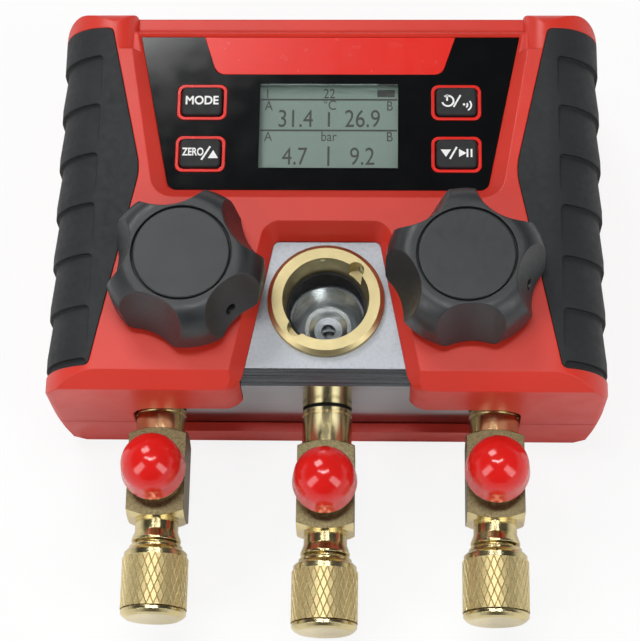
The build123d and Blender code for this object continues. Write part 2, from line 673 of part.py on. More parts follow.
# ---- manifold block and sight glass ------------------------------------------------------------------
def make_manifold_block():
    body = block(-BLOCK_HALF_W, BLOCK_HALF_W, BLOCK_Y0, BLOCK_Y1, BLOCK_Z0, BLOCK_Z1)
    edge = body.edges().filter_by(Axis.X).sort_by(lambda e: e.center().Z - e.center().Y)[-1]
    body = chamfer(edge, BLOCK_CHAMFER)
    # sight glass: thread for the ring, seat for the glass, then the turned well
    body -= post(0, GLASS_Y, glass_seat_z(), BLOCK_Z1 + 1, GLASS_THREAD_R + SLIDE_FIT)
    step_r = WELL_STEP_R - WELL_STEP
    body -= Pos(0, GLASS_Y, 0) * turned([
        (0, WELL_FLOOR_Z - WELL_POINT), (step_r, WELL_FLOOR_Z - WELL_STEP), (step_r, WELL_FLOOR_Z),
        (WELL_STEP_R, WELL_FLOOR_Z), (WELL_STEP_R, WELL_FLOOR_Z + WELL_STEP), (WELL_R, glass_seat_z()),
        (WELL_R, glass_seat_z() + 1), (0, glass_seat_z() + 1)])
    body -= post(0, GLASS_Y, INNER_GALLERY_Z, WELL_FLOOR_Z, GALLERY_R)
    body -= rod_y(0, INNER_GALLERY_Z, CENTRE_DRILL_END_Y - 2, VALVE_Y, GALLERY_R)
    for name, x in PORTS.items():
        end_y = CENTRE_DRILL_END_Y if name == "centre" else PORT_DRILL_END_Y
        body -= rod_y(x, PORT_Z, BLOCK_Y0 - 1, BLOCK_Y0 + SPIGOT_L + 1, SPIGOT_R + SLIDE_FIT)
        body -= rod_y(x, PORT_Z, BLOCK_Y0, end_y, PORT_DRILL_R)
    for side in SIDES.values():
        x = side * VALVE_X
        body -= post(x, VALVE_Y, GLAND_Z0, BLOCK_Z1 + 1, GLAND_R + SLIDE_FIT)
        body -= post(x, VALVE_Y, CHAMBER_Z, GLAND_Z0, CHAMBER_R)
        body -= post(x, VALVE_Y, INNER_GALLERY_Z, CHAMBER_Z, SEAT_R)
        x0, x1 = sorted((x, side * PORT_X))
        body -= rod_x(VALVE_Y, OUTER_GALLERY_Z, x0, x1, GALLERY_R)
        x0, x1 = sorted((side * PORT_X, side * (BLOCK_HALF_W + 1)))
        body -= rod_x(SENSOR_Y, PORT_Z, x0, x1, GALLERY_R)
        x0, x1 = sorted((side * (BLOCK_HALF_W - SENSOR_THREAD_L), side * (BLOCK_HALF_W + 1)))
        body -= rod_x(SENSOR_Y, PORT_Z, x0, x1, SENSOR_THREAD_R + SLIDE_FIT)
    body -= rod_x(VALVE_Y, INNER_GALLERY_Z, -BLOCK_HALF_W - 1, VALVE_X + GALLERY_R, GALLERY_R)
    body -= rod_x(VALVE_Y, INNER_GALLERY_Z, -BLOCK_HALF_W - 1, -BLOCK_HALF_W + PLUG_L, PLUG_R + SLIDE_FIT)
    for x, y in BLOCK_SCREW_AT:
        body -= post(x, y, BLOCK_Z0 - 1, BLOCK_SCREW_TIP_Z + 1, BLOCK_SCREW_R + SCREW_FIT)
    return body


def make_sensor(side):
    x0, x1 = sorted((side * (BLOCK_HALF_W - SENSOR_THREAD_L), side * BLOCK_HALF_W))
    sensor = rod_x(SENSOR_Y, PORT_Z, x0, x1, SENSOR_THREAD_R)
    hexagon = Plane.YZ.offset(side * BLOCK_HALF_W) * RegularPolygon(SENSOR_AF / 2, 6, major_radius=False)
    sensor += Pos(0, SENSOR_Y, PORT_Z) * extrude(hexagon, side * SENSOR_L * 0.4)
    x0, x1 = sorted((side * (BLOCK_HALF_W + SENSOR_L * 0.4), side * (BLOCK_HALF_W + SENSOR_L)))
    sensor += rod_x(SENSOR_Y, PORT_Z, x0, x1, SENSOR_AF / 2 - 0.6)
    return sensor - rod_x(SENSOR_Y, PORT_Z, *sorted((side * (BLOCK_HALF_W - 5), side * (BLOCK_HALF_W + 2))), 1.2)


def make_gallery_plug():
    plug = rod_x(VALVE_Y, INNER_GALLERY_Z, -BLOCK_HALF_W, -BLOCK_HALF_W + PLUG_L, PLUG_R)
    socket = Plane.YZ.offset(-BLOCK_HALF_W - 1) * RegularPolygon(1.5, 6, major_radius=False)
    return plug - Pos(0, VALVE_Y, INNER_GALLERY_Z) * extrude(socket, 4)


def glass_seat_z():
    return GLASS_RING_Z0 - GLASS_SEAL_T - GLASS_T


def make_sight_glass():
    top = BLOCK_Z1 + GLASS_RING_T
    retainer = turned([
        (GLASS_BORE_R, GLASS_RING_Z0), (GLASS_THREAD_R, GLASS_RING_Z0), (GLASS_THREAD_R, BLOCK_Z1),
        (GLASS_RING_R, BLOCK_Z1), (GLASS_RING_R, top - 0.9), (GLASS_RING_R - 1.1, top),
        (GLASS_BORE_TOP_R, top)])
    for turn in (0, 180):
        angle = math.radians(SPANNER_ANGLE + turn)
        x, y = SPANNER_AT_R * math.cos(angle), SPANNER_AT_R * math.sin(angle)
        retainer -= post(x, y, top - SPANNER_DEPTH, top + 1, SPANNER_R)
    seal_top, seal_bottom = GLASS_RING_Z0, GLASS_RING_Z0 - GLASS_SEAL_T
    seal = post(0, 0, seal_bottom, seal_top, GLASS_R) - post(0, 0, seal_bottom - 1, seal_top + 1, GLASS_SEAL_R)
    lens = post(0, 0, seal_bottom - GLASS_T, seal_bottom, GLASS_R)
    place = Pos(0, GLASS_Y, 0)
    return {"sight_glass_ring": place * retainer, "sight_glass_seal": place * seal,
            "sight_glass_lens": place * lens}


# ---- valves and knobs -----------------------------------------------------------------------------------
def seal_z():
    return (GLAND_THREAD_Z1 + GLAND_TOP_Z) / 2


def make_gland():
    gland = post(0, 0, GLAND_Z0, BLOCK_Z1, GLAND_R) + hex_prism(0, 0, BLOCK_Z1, BLOCK_Z1 + GLAND_HEX_T, GLAND_HEX_AF)
    gland += post(0, 0, BLOCK_Z1, GLAND_TOP_Z, GLAND_NECK_R)
    gland -= post(0, 0, GLAND_Z0 - 1, GLAND_THREAD_Z1, GLAND_THREAD_R)
    gland -= post(0, 0, GLAND_Z0, GLAND_TOP_Z + 1, SPINDLE_R + SLIDE_FIT)
    groove_r = SPINDLE_R + 2 * SLIDE_FIT + 2 * SPINDLE_SEAL_R
    gland -= post(0, 0, seal_z() - SPINDLE_SEAL_R - 0.1, seal_z() + SPINDLE_SEAL_R + 0.1, groove_r)
    return gland


def make_piston():
    """Seals on its cone at the bottom; turns with nothing and is lifted by the spindle."""
    r = CHAMBER_R - SLIDE_FIT
    top = CHAMBER_Z + PISTON_H
    piston = turned([(0, CHAMBER_Z + 0.1), (SEAT_R + 0.3, CHAMBER_Z + 0.1), (r, CHAMBER_Z + 2.4), (r, top), (0, top)])
    piston -= post(0, 0, SPINDLE_FOOT_Z - SLIDE_FIT, top + 1, SPINDLE_FOOT_R + SLIDE_FIT)
    for z in (CHAMBER_Z + 4.4, CHAMBER_Z + 7.4):
        piston -= post(0, 0, z, z + 1.4, r + 1) - post(0, 0, z, z + 1.4, r - 0.9)
    return piston


def make_spindle():
    top = KNOB_Z0 + KNOB_H - KNOB_CAP_T - KNOB_ROOF
    thread_r = GLAND_THREAD_R - SLIDE_FIT
    return turned([
        (0, SPINDLE_FOOT_Z), (SPINDLE_FOOT_R, SPINDLE_FOOT_Z), (SPINDLE_FOOT_R, SPINDLE_COLLAR_Z0),
        (thread_r, SPINDLE_COLLAR_Z0), (thread_r, SPINDLE_COLLAR_Z1), (SPINDLE_R, SPINDLE_COLLAR_Z1),
        (SPINDLE_R, top - 0.5), (SPINDLE_R - 0.5, top), (0, top)])


def make_knob(lobe_angle):
    """A five-lobed knob: a turned body with a rounded shoulder and shallow scoops that lean outwards."""
    top = KNOB_H
    shoulder = EllipticalCenterArc((KNOB_TOP_R, KNOB_SHOULDER_H), KNOB_R - KNOB_TOP_R, top - KNOB_SHOULDER_H,
                                   start_angle=0, arc_size=90)
    half = make_face([
        Line((0, 0), (KNOB_R - 0.8, 0)), Line((KNOB_R - 0.8, 0), (KNOB_R, 0.8)),
        Line((KNOB_R, 0.8), (KNOB_R, KNOB_SHOULDER_H)), shoulder, Line((KNOB_TOP_R, top), (0, top)),
        Line((0, top), (0, 0))])
    body = revolve(Plane.XZ * half, Axis.Z)
    lean = math.tan(math.radians(KNOB_SCOOP_LEAN))
    scoop = Cylinder(KNOB_SCOOP_R, 80)
    scoop = Pos(KNOB_TOP_R + KNOB_SCOOP_R, 0, top) * Rot(0, -KNOB_SCOOP_LEAN, 0) * scoop
    for i in range(KNOB_LOBES):
        body -= Rot(0, 0, lobe_angle + (i + 0.5) * 360 / KNOB_LOBES) * scoop
    body -= post(0, 0, top - KNOB_CAP_T, top + 1, KNOB_CAP_R + KNOB_GROOVE)
    body -= post(0, 0, -1, KNOB_HOLLOW_H, KNOB_HOLLOW_R) - post(0, 0, -1, KNOB_HOLLOW_H, KNOB_HUB_R)
    body -= post(0, 0, -1, top - KNOB_CAP_T - KNOB_ROOF + SLIDE_FIT, SPINDLE_R + SLIDE_FIT)
    body -= Rot(0, 0, set_screw_angle(lobe_angle)) * rod_x(0, SET_SCREW_H, 0, KNOB_R + 2, SET_SCREW_R + SCREW_FIT)
    return body


def set_screw_angle(lobe_angle):
    return lobe_angle - 180 / KNOB_LOBES - 360 / KNOB_LOBES


def make_valve(name, side):
    angle = KNOB_LOBE_ANGLE[name]
    base = Pos(side * VALVE_X, VALVE_Y, 0)
    at_knob = Pos(side * VALVE_X, VALVE_Y, KNOB_Z0)
    cap_z = KNOB_H - KNOB_CAP_T
    cap = turned([(0, cap_z), (KNOB_CAP_R, cap_z), (KNOB_CAP_R, KNOB_H - 0.3), (KNOB_CAP_R - 0.3, KNOB_H), (0, KNOB_H)])
    start = SPINDLE_R + SLIDE_FIT
    screw = rod_x(0, SET_SCREW_H, start, start + SET_SCREW_L, SET_SCREW_R)
    screw -= Plane.YZ.offset(start + SET_SCREW_L - 1.5) * Pos(0, SET_SCREW_H, 0) * extrude(
        RegularPolygon(0.75, 6, major_radius=False), 3)
    return {
        f"valve_gland_{name}": base * make_gland(),
        f"spindle_seal_{name}": base * ring(0, 0, seal_z(), SPINDLE_R + SLIDE_FIT + SPINDLE_SEAL_R, SPINDLE_SEAL_R),
        f"valve_piston_{name}": base * make_piston(),
        f"valve_spindle_{name}": base * make_spindle(),
        f"valve_knob_{name}": at_knob * make_knob(angle),
        f"knob_cap_{name}": at_knob * cap,
        f"knob_screw_{name}": at_knob * Rot(0, 0, set_screw_angle(angle)) * screw,
    }


# ---- port tees and caps ------------------------------------------------------------------------------------
def tee_top(name):
    extra = CENTRE_EXTRA if name == "centre" else 0.0
    return BLOCK_Y0 - SHANK_L - extra


def make_tee(name, x):
    y1 = tee_top(name)
    y0 = y1 - TEE_L
    half = TEE_W / 2
    corner_r = half * math.sqrt(2) + 0.1
    bar = Pos(x, 0, PORT_Z) * along_y(Rectangle(TEE_W, TEE_W), y0, y1)
    # both ends are turned, so the square bar gets arched chamfers
    bar &= turned_down_y([(0, 0), (half + 0.2, 0), (corner_r, TEE_CHAMFER), (corner_r, TEE_L - TEE_CHAMFER),
                          (half + 0.2, TEE_L), (0, TEE_L)], x, PORT_Z, y1)
    shank_y = BLOCK_Y0 - PORT_SEAL_T
    tee = bar + rod_y(x, PORT_Z, y1 - 1, shank_y, SHANK_R)
    groove = rod_y(x, PORT_Z, shank_y - 1.9, shank_y - 1.3, SHANK_R + 1) - rod_y(
        x, PORT_Z, shank_y - 2.1, shank_y - 1.1, SHANK_R - 0.4)
    tee -= groove
    tee += rod_y(x, PORT_Z, shank_y - 1, BLOCK_Y0 + SPIGOT_L, SPIGOT_R)
    cone = NECK_L + NECK_CONE_L
    tee += turned_down_y([
        (0, -1), (NECK_R, -1), (NECK_R, NECK_L), (NECK_CONE_R, cone), (NECK_CONE_R, cone + 0.6),
        (FLARE_R, cone + 0.9), (FLARE_R, FLARE_END - 1.9), (FLARE_NOSE_R, FLARE_END), (0, FLARE_END)], x, PORT_Z, y0)
    ya = y1 - ACCESS_FROM_TOP
    face_z = PORT_Z + half
    tip = face_z + ACCESS_L
    tee += Pos(x, ya, 0) * turned([
        (0, PORT_Z), (ACCESS_COLLAR_R, PORT_Z), (ACCESS_COLLAR_R, face_z + ACCESS_COLLAR_T - 0.5),
        (ACCESS_COLLAR_R - 0.5, face_z + ACCESS_COLLAR_T), (FLARE_R, face_z + ACCESS_COLLAR_T),
        (FLARE_R, tip - 1.9), (FLARE_NOSE_R, tip), (0, tip)])
    tee -= rod_y(x, PORT_Z, y0 - FLARE_END - 1, BLOCK_Y0 + SPIGOT_L + 1, TEE_BORE_R)
    tee -= post(x, ya, PORT_Z, tip + 1, CORE_R + SCREW_FIT)
    return tee


def make_access_core(name, x):
    ya = tee_top(name) - ACCESS_FROM_TOP
    face_z = PORT_Z + TEE_W / 2
    tip = face_z + ACCESS_L
    return post(x, ya, face_z - 1, tip - 2.5, CORE_R) + post(x, ya, tip - 2.5, tip - 0.6, 0.8)


def make_dust_cap(name, x):
    ya = tee_top(name) - ACCESS_FROM_TOP
    z0 = PORT_Z + TEE_W / 2 + ACCESS_COLLAR_T + DUST_START
    dome = Pos(0, 0, z0 + DUST_SKIRT) * scale(Sphere(DUST_R), (1, 1, DUST_DOME / DUST_R))
    dome &= post(0, 0, z0 + DUST_SKIRT, z0 + DUST_SKIRT + DUST_DOME + 1, DUST_R + 1)
    foot_r = DUST_R + DUST_FLARE
    skirt = turned([(0, z0), (foot_r - 0.3, z0), (foot_r, z0 + 0.5), (DUST_R, z0 + DUST_SKIRT), (0, z0 + DUST_SKIRT)])
    cap = skirt + dome
    bore_top = PORT_Z + TEE_W / 2 + ACCESS_L + 0.4
    cap -= post(0, 0, z0 - 1, bore_top, DUST_BORE_R)
    return Pos(x, ya, 0) * cap


def make_blanking_cap(name, x):
    y = tee_top(name) - TEE_L - CAP_GAP
    seal_y0 = FLARE_END - CAP_GAP + 0.15
    cap = turned([
        (0, CAP_L), (CAP_END_R - 0.7, CAP_L), (CAP_END_R, CAP_L - 0.4), (CAP_RIM_R, CAP_KNURL_END + 1.2),
        (CAP_RIM_R, CAP_KNURL_END + 0.4), (CAP_KNURL_R, CAP_KNURL_END), (CAP_KNURL_R, CAP_KNURL_START),
        (CAP_BAND_R, CAP_KNURL_START), (CAP_BAND_R, CAP_BAND_START + 0.5), (CAP_BAND_R - 0.5, CAP_BAND_START),
        (CAP_LIP_R, CAP_LIP_L), (CAP_LIP_R, 0.3), (CAP_LIP_R - 0.3, 0), (0, 0)])
    cap -= post(0, 0, -1, seal_y0 + CAP_SEAL_T + 0.05, CAP_BORE_R)
    seal = post(0, 0, seal_y0, seal_y0 + CAP_SEAL_T, CAP_SEAL_R)
    place = Pos(x, y, PORT_Z) * Rot(90, 0, 0)
    return place * cap, place * seal


def make_port_seals():
    seals = []
    for x in PORTS.values():
        y0, y1 = BLOCK_Y0 - PORT_SEAL_T, BLOCK_Y0
        seals.append(rod_y(x, PORT_Z, y0, y1, SHANK_R - 0.3) - rod_y(x, PORT_Z, y0 - 1, y1 + 1, SPIGOT_R + 0.1))
    return Compound(seals)


# ---- hanging hook -------------------------------------------------------------------------------------------
def make_hook():
    """A flat J that folds into the back; its long leg carries the barrel on the pin."""
    r1, r0 = HOOK_RING_R, HOOK_RING_R - HOOK_BAR
    bend = (Circle(r1) - Circle(r0)) & (Pos(0, -r1) * Rectangle(4 * r1, 2 * r1))
    leg_x = (r1 + r0) / 2
    long_l = HOOK_Y - HOOK_RING_Y
    shape = bend + Pos(-leg_x, long_l / 2) * Rectangle(HOOK_BAR, long_l)
    shape += Pos(leg_x, HOOK_TIP / 2) * Rectangle(HOOK_BAR, HOOK_TIP)
    shape += Pos(leg_x, HOOK_TIP) * Circle(HOOK_BAR / 2)
    hook = Pos(0, HOOK_RING_Y, 0) * along_z(shape, HOOK_Z - HOOK_T / 2, HOOK_Z + HOOK_T / 2)
    hook += rod_x(HOOK_Y, HOOK_Z, -HOOK_HALF_W, HOOK_HALF_W, HOOK_BARREL_R)
    hook -= rod_x(HOOK_Y, HOOK_Z, -HOOK_HALF_W - 1, HOOK_HALF_W + 1, HOOK_PIN_R + SLIDE_FIT)
    return hook


def make_nodes():
    shell = make_shell()
    nodes = {"front_housing": make_front_housing(shell), "rear_housing": make_rear_housing(shell)}
    for name, grip in make_grips().items():
        nodes[f"grip_{name}"] = grip
    nodes.update(make_display())
    nodes.update(make_keys())
    nodes.update(make_electronics())
    nodes["battery_cover"] = make_battery_cover()
    nodes["battery_cover_screws"] = Compound([
        make_screw(s * COVER_SCREW_X, BAY_Y, 0.1, COVER_HEAD_R, COVER_T / 2 - 0.1, COVER_SCREW_R, COVER_T + WALL - 1)
        for s in SIDES.values()])
    nodes["case_screws"] = Compound([
        make_screw(x, y, SCREW_HEAD_SINK, SCREW_HEAD_R, SCREW_HEAD_T, CASE_SCREW_R, CASE_SCREW_TIP_Z)
        for x, y in CASE_SCREW_AT])
    nodes["block_screws"] = Compound([
        make_screw(x, y, SCREW_HEAD_SINK, SCREW_HEAD_R, SCREW_HEAD_T, BLOCK_SCREW_R, BLOCK_SCREW_TIP_Z)
        for x, y in BLOCK_SCREW_AT])
    nodes["manifold_block"] = make_manifold_block()
    nodes["gallery_plug"] = make_gallery_plug()
    nodes.update(make_sight_glass())
    for name, side in SIDES.items():
        nodes.update(make_valve(name, side))
        nodes[f"pressure_sensor_{name}"] = make_sensor(side)
    for name, x in PORTS.items():
        nodes[f"port_tee_{name}"] = make_tee(name, x)
        nodes[f"access_core_{name}"] = make_access_core(name, x)
        nodes[f"dust_cap_{name}"] = make_dust_cap(name, x)
        nodes[f"port_cap_{name}"], nodes[f"port_cap_seal_{name}"] = make_blanking_cap(name, x)
    nodes["port_seals"] = make_port_seals()
    nodes["hanging_hook"] = make_hook()
    pin_end = HOOK_HALF_W + HOOK_PIN_REACH
    nodes["hook_pin"] = rod_x(HOOK_Y, HOOK_Z, -pin_end, pin_end, HOOK_PIN_R)
    return nodes


def main():
    os.makedirs("parts", exist_ok=True)
    for name, shape in make_nodes().items():
        export_step(shape, f"parts/{name}.step")


main()
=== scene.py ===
"""Dresses the manifold gauge: finishes for its parts, its fine pieces, and the studio that it lies in."""

import json
import math

import bmesh
import bpy
from bpy.props import FloatProperty, FloatVectorProperty, IntProperty, PointerProperty
from bpy.types import Operator, Panel, PropertyGroup
from mathutils import Matrix, Vector


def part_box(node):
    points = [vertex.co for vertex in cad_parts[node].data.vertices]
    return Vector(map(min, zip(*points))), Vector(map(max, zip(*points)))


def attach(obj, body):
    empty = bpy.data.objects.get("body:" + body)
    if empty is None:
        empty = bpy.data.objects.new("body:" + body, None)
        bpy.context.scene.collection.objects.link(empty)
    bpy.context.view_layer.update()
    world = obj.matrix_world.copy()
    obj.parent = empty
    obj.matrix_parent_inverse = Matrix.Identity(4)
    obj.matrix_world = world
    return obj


bl_info = {
    "name": "Manifold Gauge Dressing",
    "version": (1, 0, 0),
    "blender": (4, 5, 0),
    "location": "View3D > Sidebar > Gauge",
    "description": "Finishes, fine pieces and studio for a refrigerant manifold gauge",
    "category": "Object",
}

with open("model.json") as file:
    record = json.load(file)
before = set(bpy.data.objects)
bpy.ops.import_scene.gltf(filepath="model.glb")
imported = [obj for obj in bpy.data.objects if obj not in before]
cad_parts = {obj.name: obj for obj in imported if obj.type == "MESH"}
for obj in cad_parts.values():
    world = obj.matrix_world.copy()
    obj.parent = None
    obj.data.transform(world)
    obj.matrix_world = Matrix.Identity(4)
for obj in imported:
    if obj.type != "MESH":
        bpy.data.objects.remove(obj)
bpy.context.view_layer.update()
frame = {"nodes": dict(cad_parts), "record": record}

MM = 0.001
ROOT = "root"
PORT_Z = 20.0 * MM
PORTS = ("left", "centre", "right")

# Display marks in millimetres: across from the middle of the window, and down from its top edge.
DIGITS = (("31.4", -9.2, 9.6), ("26.9", 9.2, 9.6), ("4.7", -9.2, 20.9), ("9.2", 9.2, 20.9))
LABELS = (("1", -17.0, 1.9), ("22", 0.0, 1.9), ("°C", 0.2, 5.4), ("A", -16.6, 5.6),
          ("B", 16.6, 5.6), ("bar", 0.0, 14.8), ("A", -16.6, 14.9), ("B", 16.6, 14.9))
RULES = ((37.4, 0.5, 0.0, 3.6), (37.4, 0.5, 0.0, 12.9), (0.6, 4.4, 0.0, 9.6),
         (0.6, 5.8, 0.0, 20.6), (4.8, 2.2, 15.6, 1.7))
DIGIT_SQUEEZE = 0.78
CAPITAL_SHARE = 0.7
BOLD_SHARE = 0.035
LABEL_SQUEEZE = 0.8

# Radius and height in millimetres of the well's wall, from the foot of the glass down to the gallery.
WELL_PROFILE = ((9.62, -0.05), (9.3, -0.6), (6.5, -5.2), (6.36, -5.45), (6.36, -6.42), (5.26, -6.46),
                (5.24, -7.5), (2.1, -8.65), (1.94, -9.0), (1.94, -14.0))

# Each lamp's name, place, width and length in metres, and the setting that gives its power.
LAMPS = (("softbox_left", (-0.74, -0.54, 0.77), 0.42, 0.90, "side_power"),
         ("softbox_right", (0.74, -0.54, 0.77), 0.42, 0.90, "side_power"),
         ("softbox_back", (-0.42, 0.74, 1.05), 0.5, 0.5, "back_power"),
         ("strip_left", (-0.17, 0.03, 1.10), 0.09, 0.45, "strip_power"),
         ("strip_right", (0.11, 0.03, 1.10), 0.09, 0.45, "strip_power"))
LAMP_AIM = Vector((0, -0.02, 0.03))
FLOOR_SIZE = 8.0
FLOOR_DROP = 0.2 * MM


# ---- colours and nodes ---------------------------------------------------------------------

def linear(hex_colour):
    """The linear red, green and blue of an sRGB hex colour."""
    channels = [int(hex_colour[i:i + 2], 16) / 255 for i in (0, 2, 4)]
    return tuple(c / 12.92 if c <= 0.04045 else ((c + 0.055) / 1.055) ** 2.4 for c in channels)


def shaded(colour, factor):
    """A colour made darker or lighter, with full alpha."""
    return tuple(min(c * factor, 1.0) for c in colour[:3]) + (1.0,)


def add_node(tree, kind, attributes=None, inputs=None):
    """Adds a shader node, sets its attributes, and sets or links its inputs."""
    node = tree.nodes.new("ShaderNode" + kind)
    for name, value in (attributes or {}).items():
        setattr(node, name, value)
    for name, value in (inputs or {}).items():
        if isinstance(value, bpy.types.NodeSocket):
            tree.links.new(value, node.inputs[name])
        else:
            node.inputs[name].default_value = value
    return node


def new_material(name):
    """An empty node material and its tree."""
    material = bpy.data.materials.new(name)
    material.use_nodes = True
    material.node_tree.nodes.clear()
    return material, material.node_tree


def finish_surface(tree, inputs):
    """Ends a material in a Principled shader with these inputs."""
    shader = add_node(tree, "BsdfPrincipled", inputs=inputs)
    add_node(tree, "OutputMaterial", inputs={"Surface": shader.outputs["BSDF"]})


def grain(tree, size, detail=2.0, stretch=(1.0, 1.0, 1.0)):
    """Noise of a real grain size in metres, on Object coordinates, drawn out along an axis."""
    place = add_node(tree, "TexCoord").outputs["Object"]
    if stretch != (1.0, 1.0, 1.0):
        place = add_node(tree, "Mapping", inputs={"Vector": place, "Scale": stretch}).outputs["Vector"]
    noise = add_node(tree, "TexNoise", inputs={"Vector": place, "Scale": 1.0 / size, "Detail": detail})
    return noise.outputs["Fac"]


def spread(tree, source, low, high):
    """Maps noise, which mostly lies between 0.3 and 0.7, to a range of numbers."""
    node = add_node(tree, "MapRange", inputs={
        "Value": source, "From Min": 0.3, "From Max": 0.7, "To Min": low, "To Max": high})
    return node.outputs["Result"]


def mixed(tree, factor, low, high):
    """A number or socket that goes from low to high with the factor."""
    return add_node(tree, "Mix", inputs={"Factor": factor, "A": low, "B": high}).outputs["Result"]


def mixed_colours(tree, factor, low, high):
    """A colour that goes from low to high with the factor; each is a colour or a socket."""
    node = add_node(tree, "Mix", {"data_type": "RGBA"}, {"Factor": factor})
    for name, value in (("A", low), ("B", high)):
        socket = next(i for i in node.inputs if i.name == name and i.type == "RGBA")
        if isinstance(value, bpy.types.NodeSocket):
            tree.links.new(value, socket)
        else:
            socket.default_value = value
    return next(o for o in node.outputs if o.type == "RGBA")


def blend_colours(tree, source, low, high):
    """Mixes two colours by noise."""
    return mixed_colours(tree, spread(tree, source, 0.0, 1.0), low, high)


def relief(tree, height, depth, strength, edge=0.0):
    """A bump of a real depth in metres over edges rounded to a real radius in metres."""
    inputs = {"Height": height, "Distance": depth, "Strength": strength}
    if edge:
        inputs["Normal"] = add_node(tree, "Bevel", {"samples": 6}, {"Radius": edge}).outputs["Normal"]
    return add_node(tree, "Bump", inputs=inputs).outputs["Normal"]


# ---- materials ---------------------------------------------------------------------------------

def moulded_abs(name, colour):
    """ABS from a satin-etched mould: soft highlights, rounded edges and a faint orange peel."""
    material, tree = new_material(name)
    cloud = grain(tree, 30 * MM)
    finish_surface(tree, {
        "Base Color": blend_colours(tree, cloud, shaded(colour, 0.95), shaded(colour, 1.05)),
        "Roughness": spread(tree, grain(tree, 6 * MM), 0.38, 0.46),
        "Normal": relief(tree, grain(tree, 0.5 * MM), 0.01 * MM, 0.35, 0.6 * MM),
        "IOR": 1.53,
        "Specular IOR Level": 0.5,
    })
    return material


def glossy_abs(name, colour):
    """ABS with a polished face, as on a header plate or a thin frame."""
    material, tree = new_material(name)
    finish_surface(tree, {
        "Base Color": blend_colours(tree, grain(tree, 20 * MM), shaded(colour, 0.97), shaded(colour, 1.03)),
        "Roughness": spread(tree, grain(tree, 4 * MM), 0.22, 0.28),
        "Normal": relief(tree, grain(tree, 0.8 * MM), 0.004 * MM, 0.3, 0.2 * MM),
        "IOR": 1.53,
    })
    return material


def overmoulded_rubber(name, colour):
    """Thermoplastic rubber from a sand-blasted mould: dull, with a fine even grain."""
    material, tree = new_material(name)
    finish_surface(tree, {
        "Base Color": blend_colours(tree, grain(tree, 12 * MM), shaded(colour, 0.85), shaded(colour, 1.15)),
        "Roughness": spread(tree, grain(tree, 2 * MM), 0.60, 0.72),
        "Normal": relief(tree, grain(tree, 0.35 * MM), 0.03 * MM, 0.5, 0.5 * MM),
        "IOR": 1.5,
        "Specular IOR Level": 0.45,
    })
    return material


def glass_filled_nylon(name, colour):
    """Black glass-filled nylon: a slightly grained moulding that shines softly on its lobes."""
    material, tree = new_material(name)
    finish_surface(tree, {
        "Base Color": blend_colours(tree, grain(tree, 8 * MM), shaded(colour, 0.85), shaded(colour, 1.15)),
        "Roughness": spread(tree, grain(tree, 1.5 * MM), 0.36, 0.46),
        "Normal": relief(tree, grain(tree, 0.3 * MM), 0.02 * MM, 0.45, 0.5 * MM),
        "IOR": 1.53,
    })
    return material


def gloss_film(name, colour):
    """Back-printed polyester film: deep colour under a clear, smooth face."""
    material, tree = new_material(name)
    finish_surface(tree, {
        "Base Color": blend_colours(tree, grain(tree, 15 * MM), shaded(colour, 0.9), shaded(colour, 1.1)),
        "Roughness": spread(tree, grain(tree, 5 * MM), 0.10, 0.14),
        "Normal": relief(tree, grain(tree, 6 * MM), 0.01 * MM, 0.1),
        "IOR": 1.5,
    })
    return material


def facing(tree, axis, limit):
    """One where the surface faces along an axis of the object, either way, and nought elsewhere."""
    normal = add_node(tree, "SeparateXYZ", inputs={"Vector": add_node(tree, "TexCoord").outputs["Normal"]})
    size = add_node(tree, "Math", {"operation": "ABSOLUTE"}, {0: normal.outputs[axis]})
    return add_node(tree, "Math", {"operation": "GREATER_THAN"}, {0: size.outputs[0], 1: limit}).outputs[0]


def machined_aluminium(name, colour):
    """Aluminium bar: tumbled and mottled on its face, fly-cut in lines on its chamfer, smooth below."""
    material, tree = new_material(name)
    face = facing(tree, "Z", 0.9)
    below = facing(tree, "Y", 0.9)
    mottle = grain(tree, 0.9 * MM, 6.0)
    cuts = grain(tree, 0.45 * MM, 3.0, (0.01, 1.0, 1.0))
    tumbled = spread(tree, mottle, 0.34, 0.6)
    flycut = spread(tree, cuts, 0.20, 0.34)
    rough = mixed(tree, below, mixed(tree, face, flycut, tumbled), 0.16)
    height = mixed(tree, below, mixed(tree, face, cuts, mottle), 0.5)
    mottled = blend_colours(tree, mottle, shaded(colour, 0.80), shaded(colour, 1.10))
    plain = blend_colours(tree, cuts, shaded(colour, 0.86), shaded(colour, 1.05))
    finish_surface(tree, {
        "Base Color": mixed_colours(tree, face, plain, mottled),
        "Metallic": 1.0,
        "Roughness": rough,
        "Normal": relief(tree, height, 0.03 * MM, 0.45, 0.15 * MM),
    })
    return material


def turned_brass(name, colour):
    """Yellow brass: sawn and speckled on its flats, whose colour is darkened far below the turned brass as
    painted shade; lathe-turned and bright round its axis along Y.
    """
    material, tree = new_material(name)
    flats = mixed(tree, facing(tree, "X", 0.99998), facing(tree, "Z", 0.99998), 1.0)
    rings = grain(tree, 0.25 * MM, 3.0, (0.03, 1.0, 0.03))
    tarnish = grain(tree, 5 * MM, 4.0)
    speckle = grain(tree, 0.5 * MM, 5.0)
    bright = blend_colours(tree, tarnish, shaded(colour, 0.84), shaded(colour, 1.10))
    # Painted shade: the flat faces get a much darker brass colour, standing in for the dim surround they mirror.
    painted_shade_flats = blend_colours(tree, speckle, shaded(colour, 0.14), shaded(colour, 0.34))
    finish_surface(tree, {
        "Base Color": mixed_colours(tree, flats, bright, painted_shade_flats),
        "Metallic": 1.0,
        "Roughness": mixed(tree, flats, spread(tree, tarnish, 0.16, 0.26), spread(tree, speckle, 0.34, 0.5)),
        "Normal": relief(tree, mixed(tree, flats, rings, speckle), 0.015 * MM, 0.5, 0.2 * MM),
    })
    return material


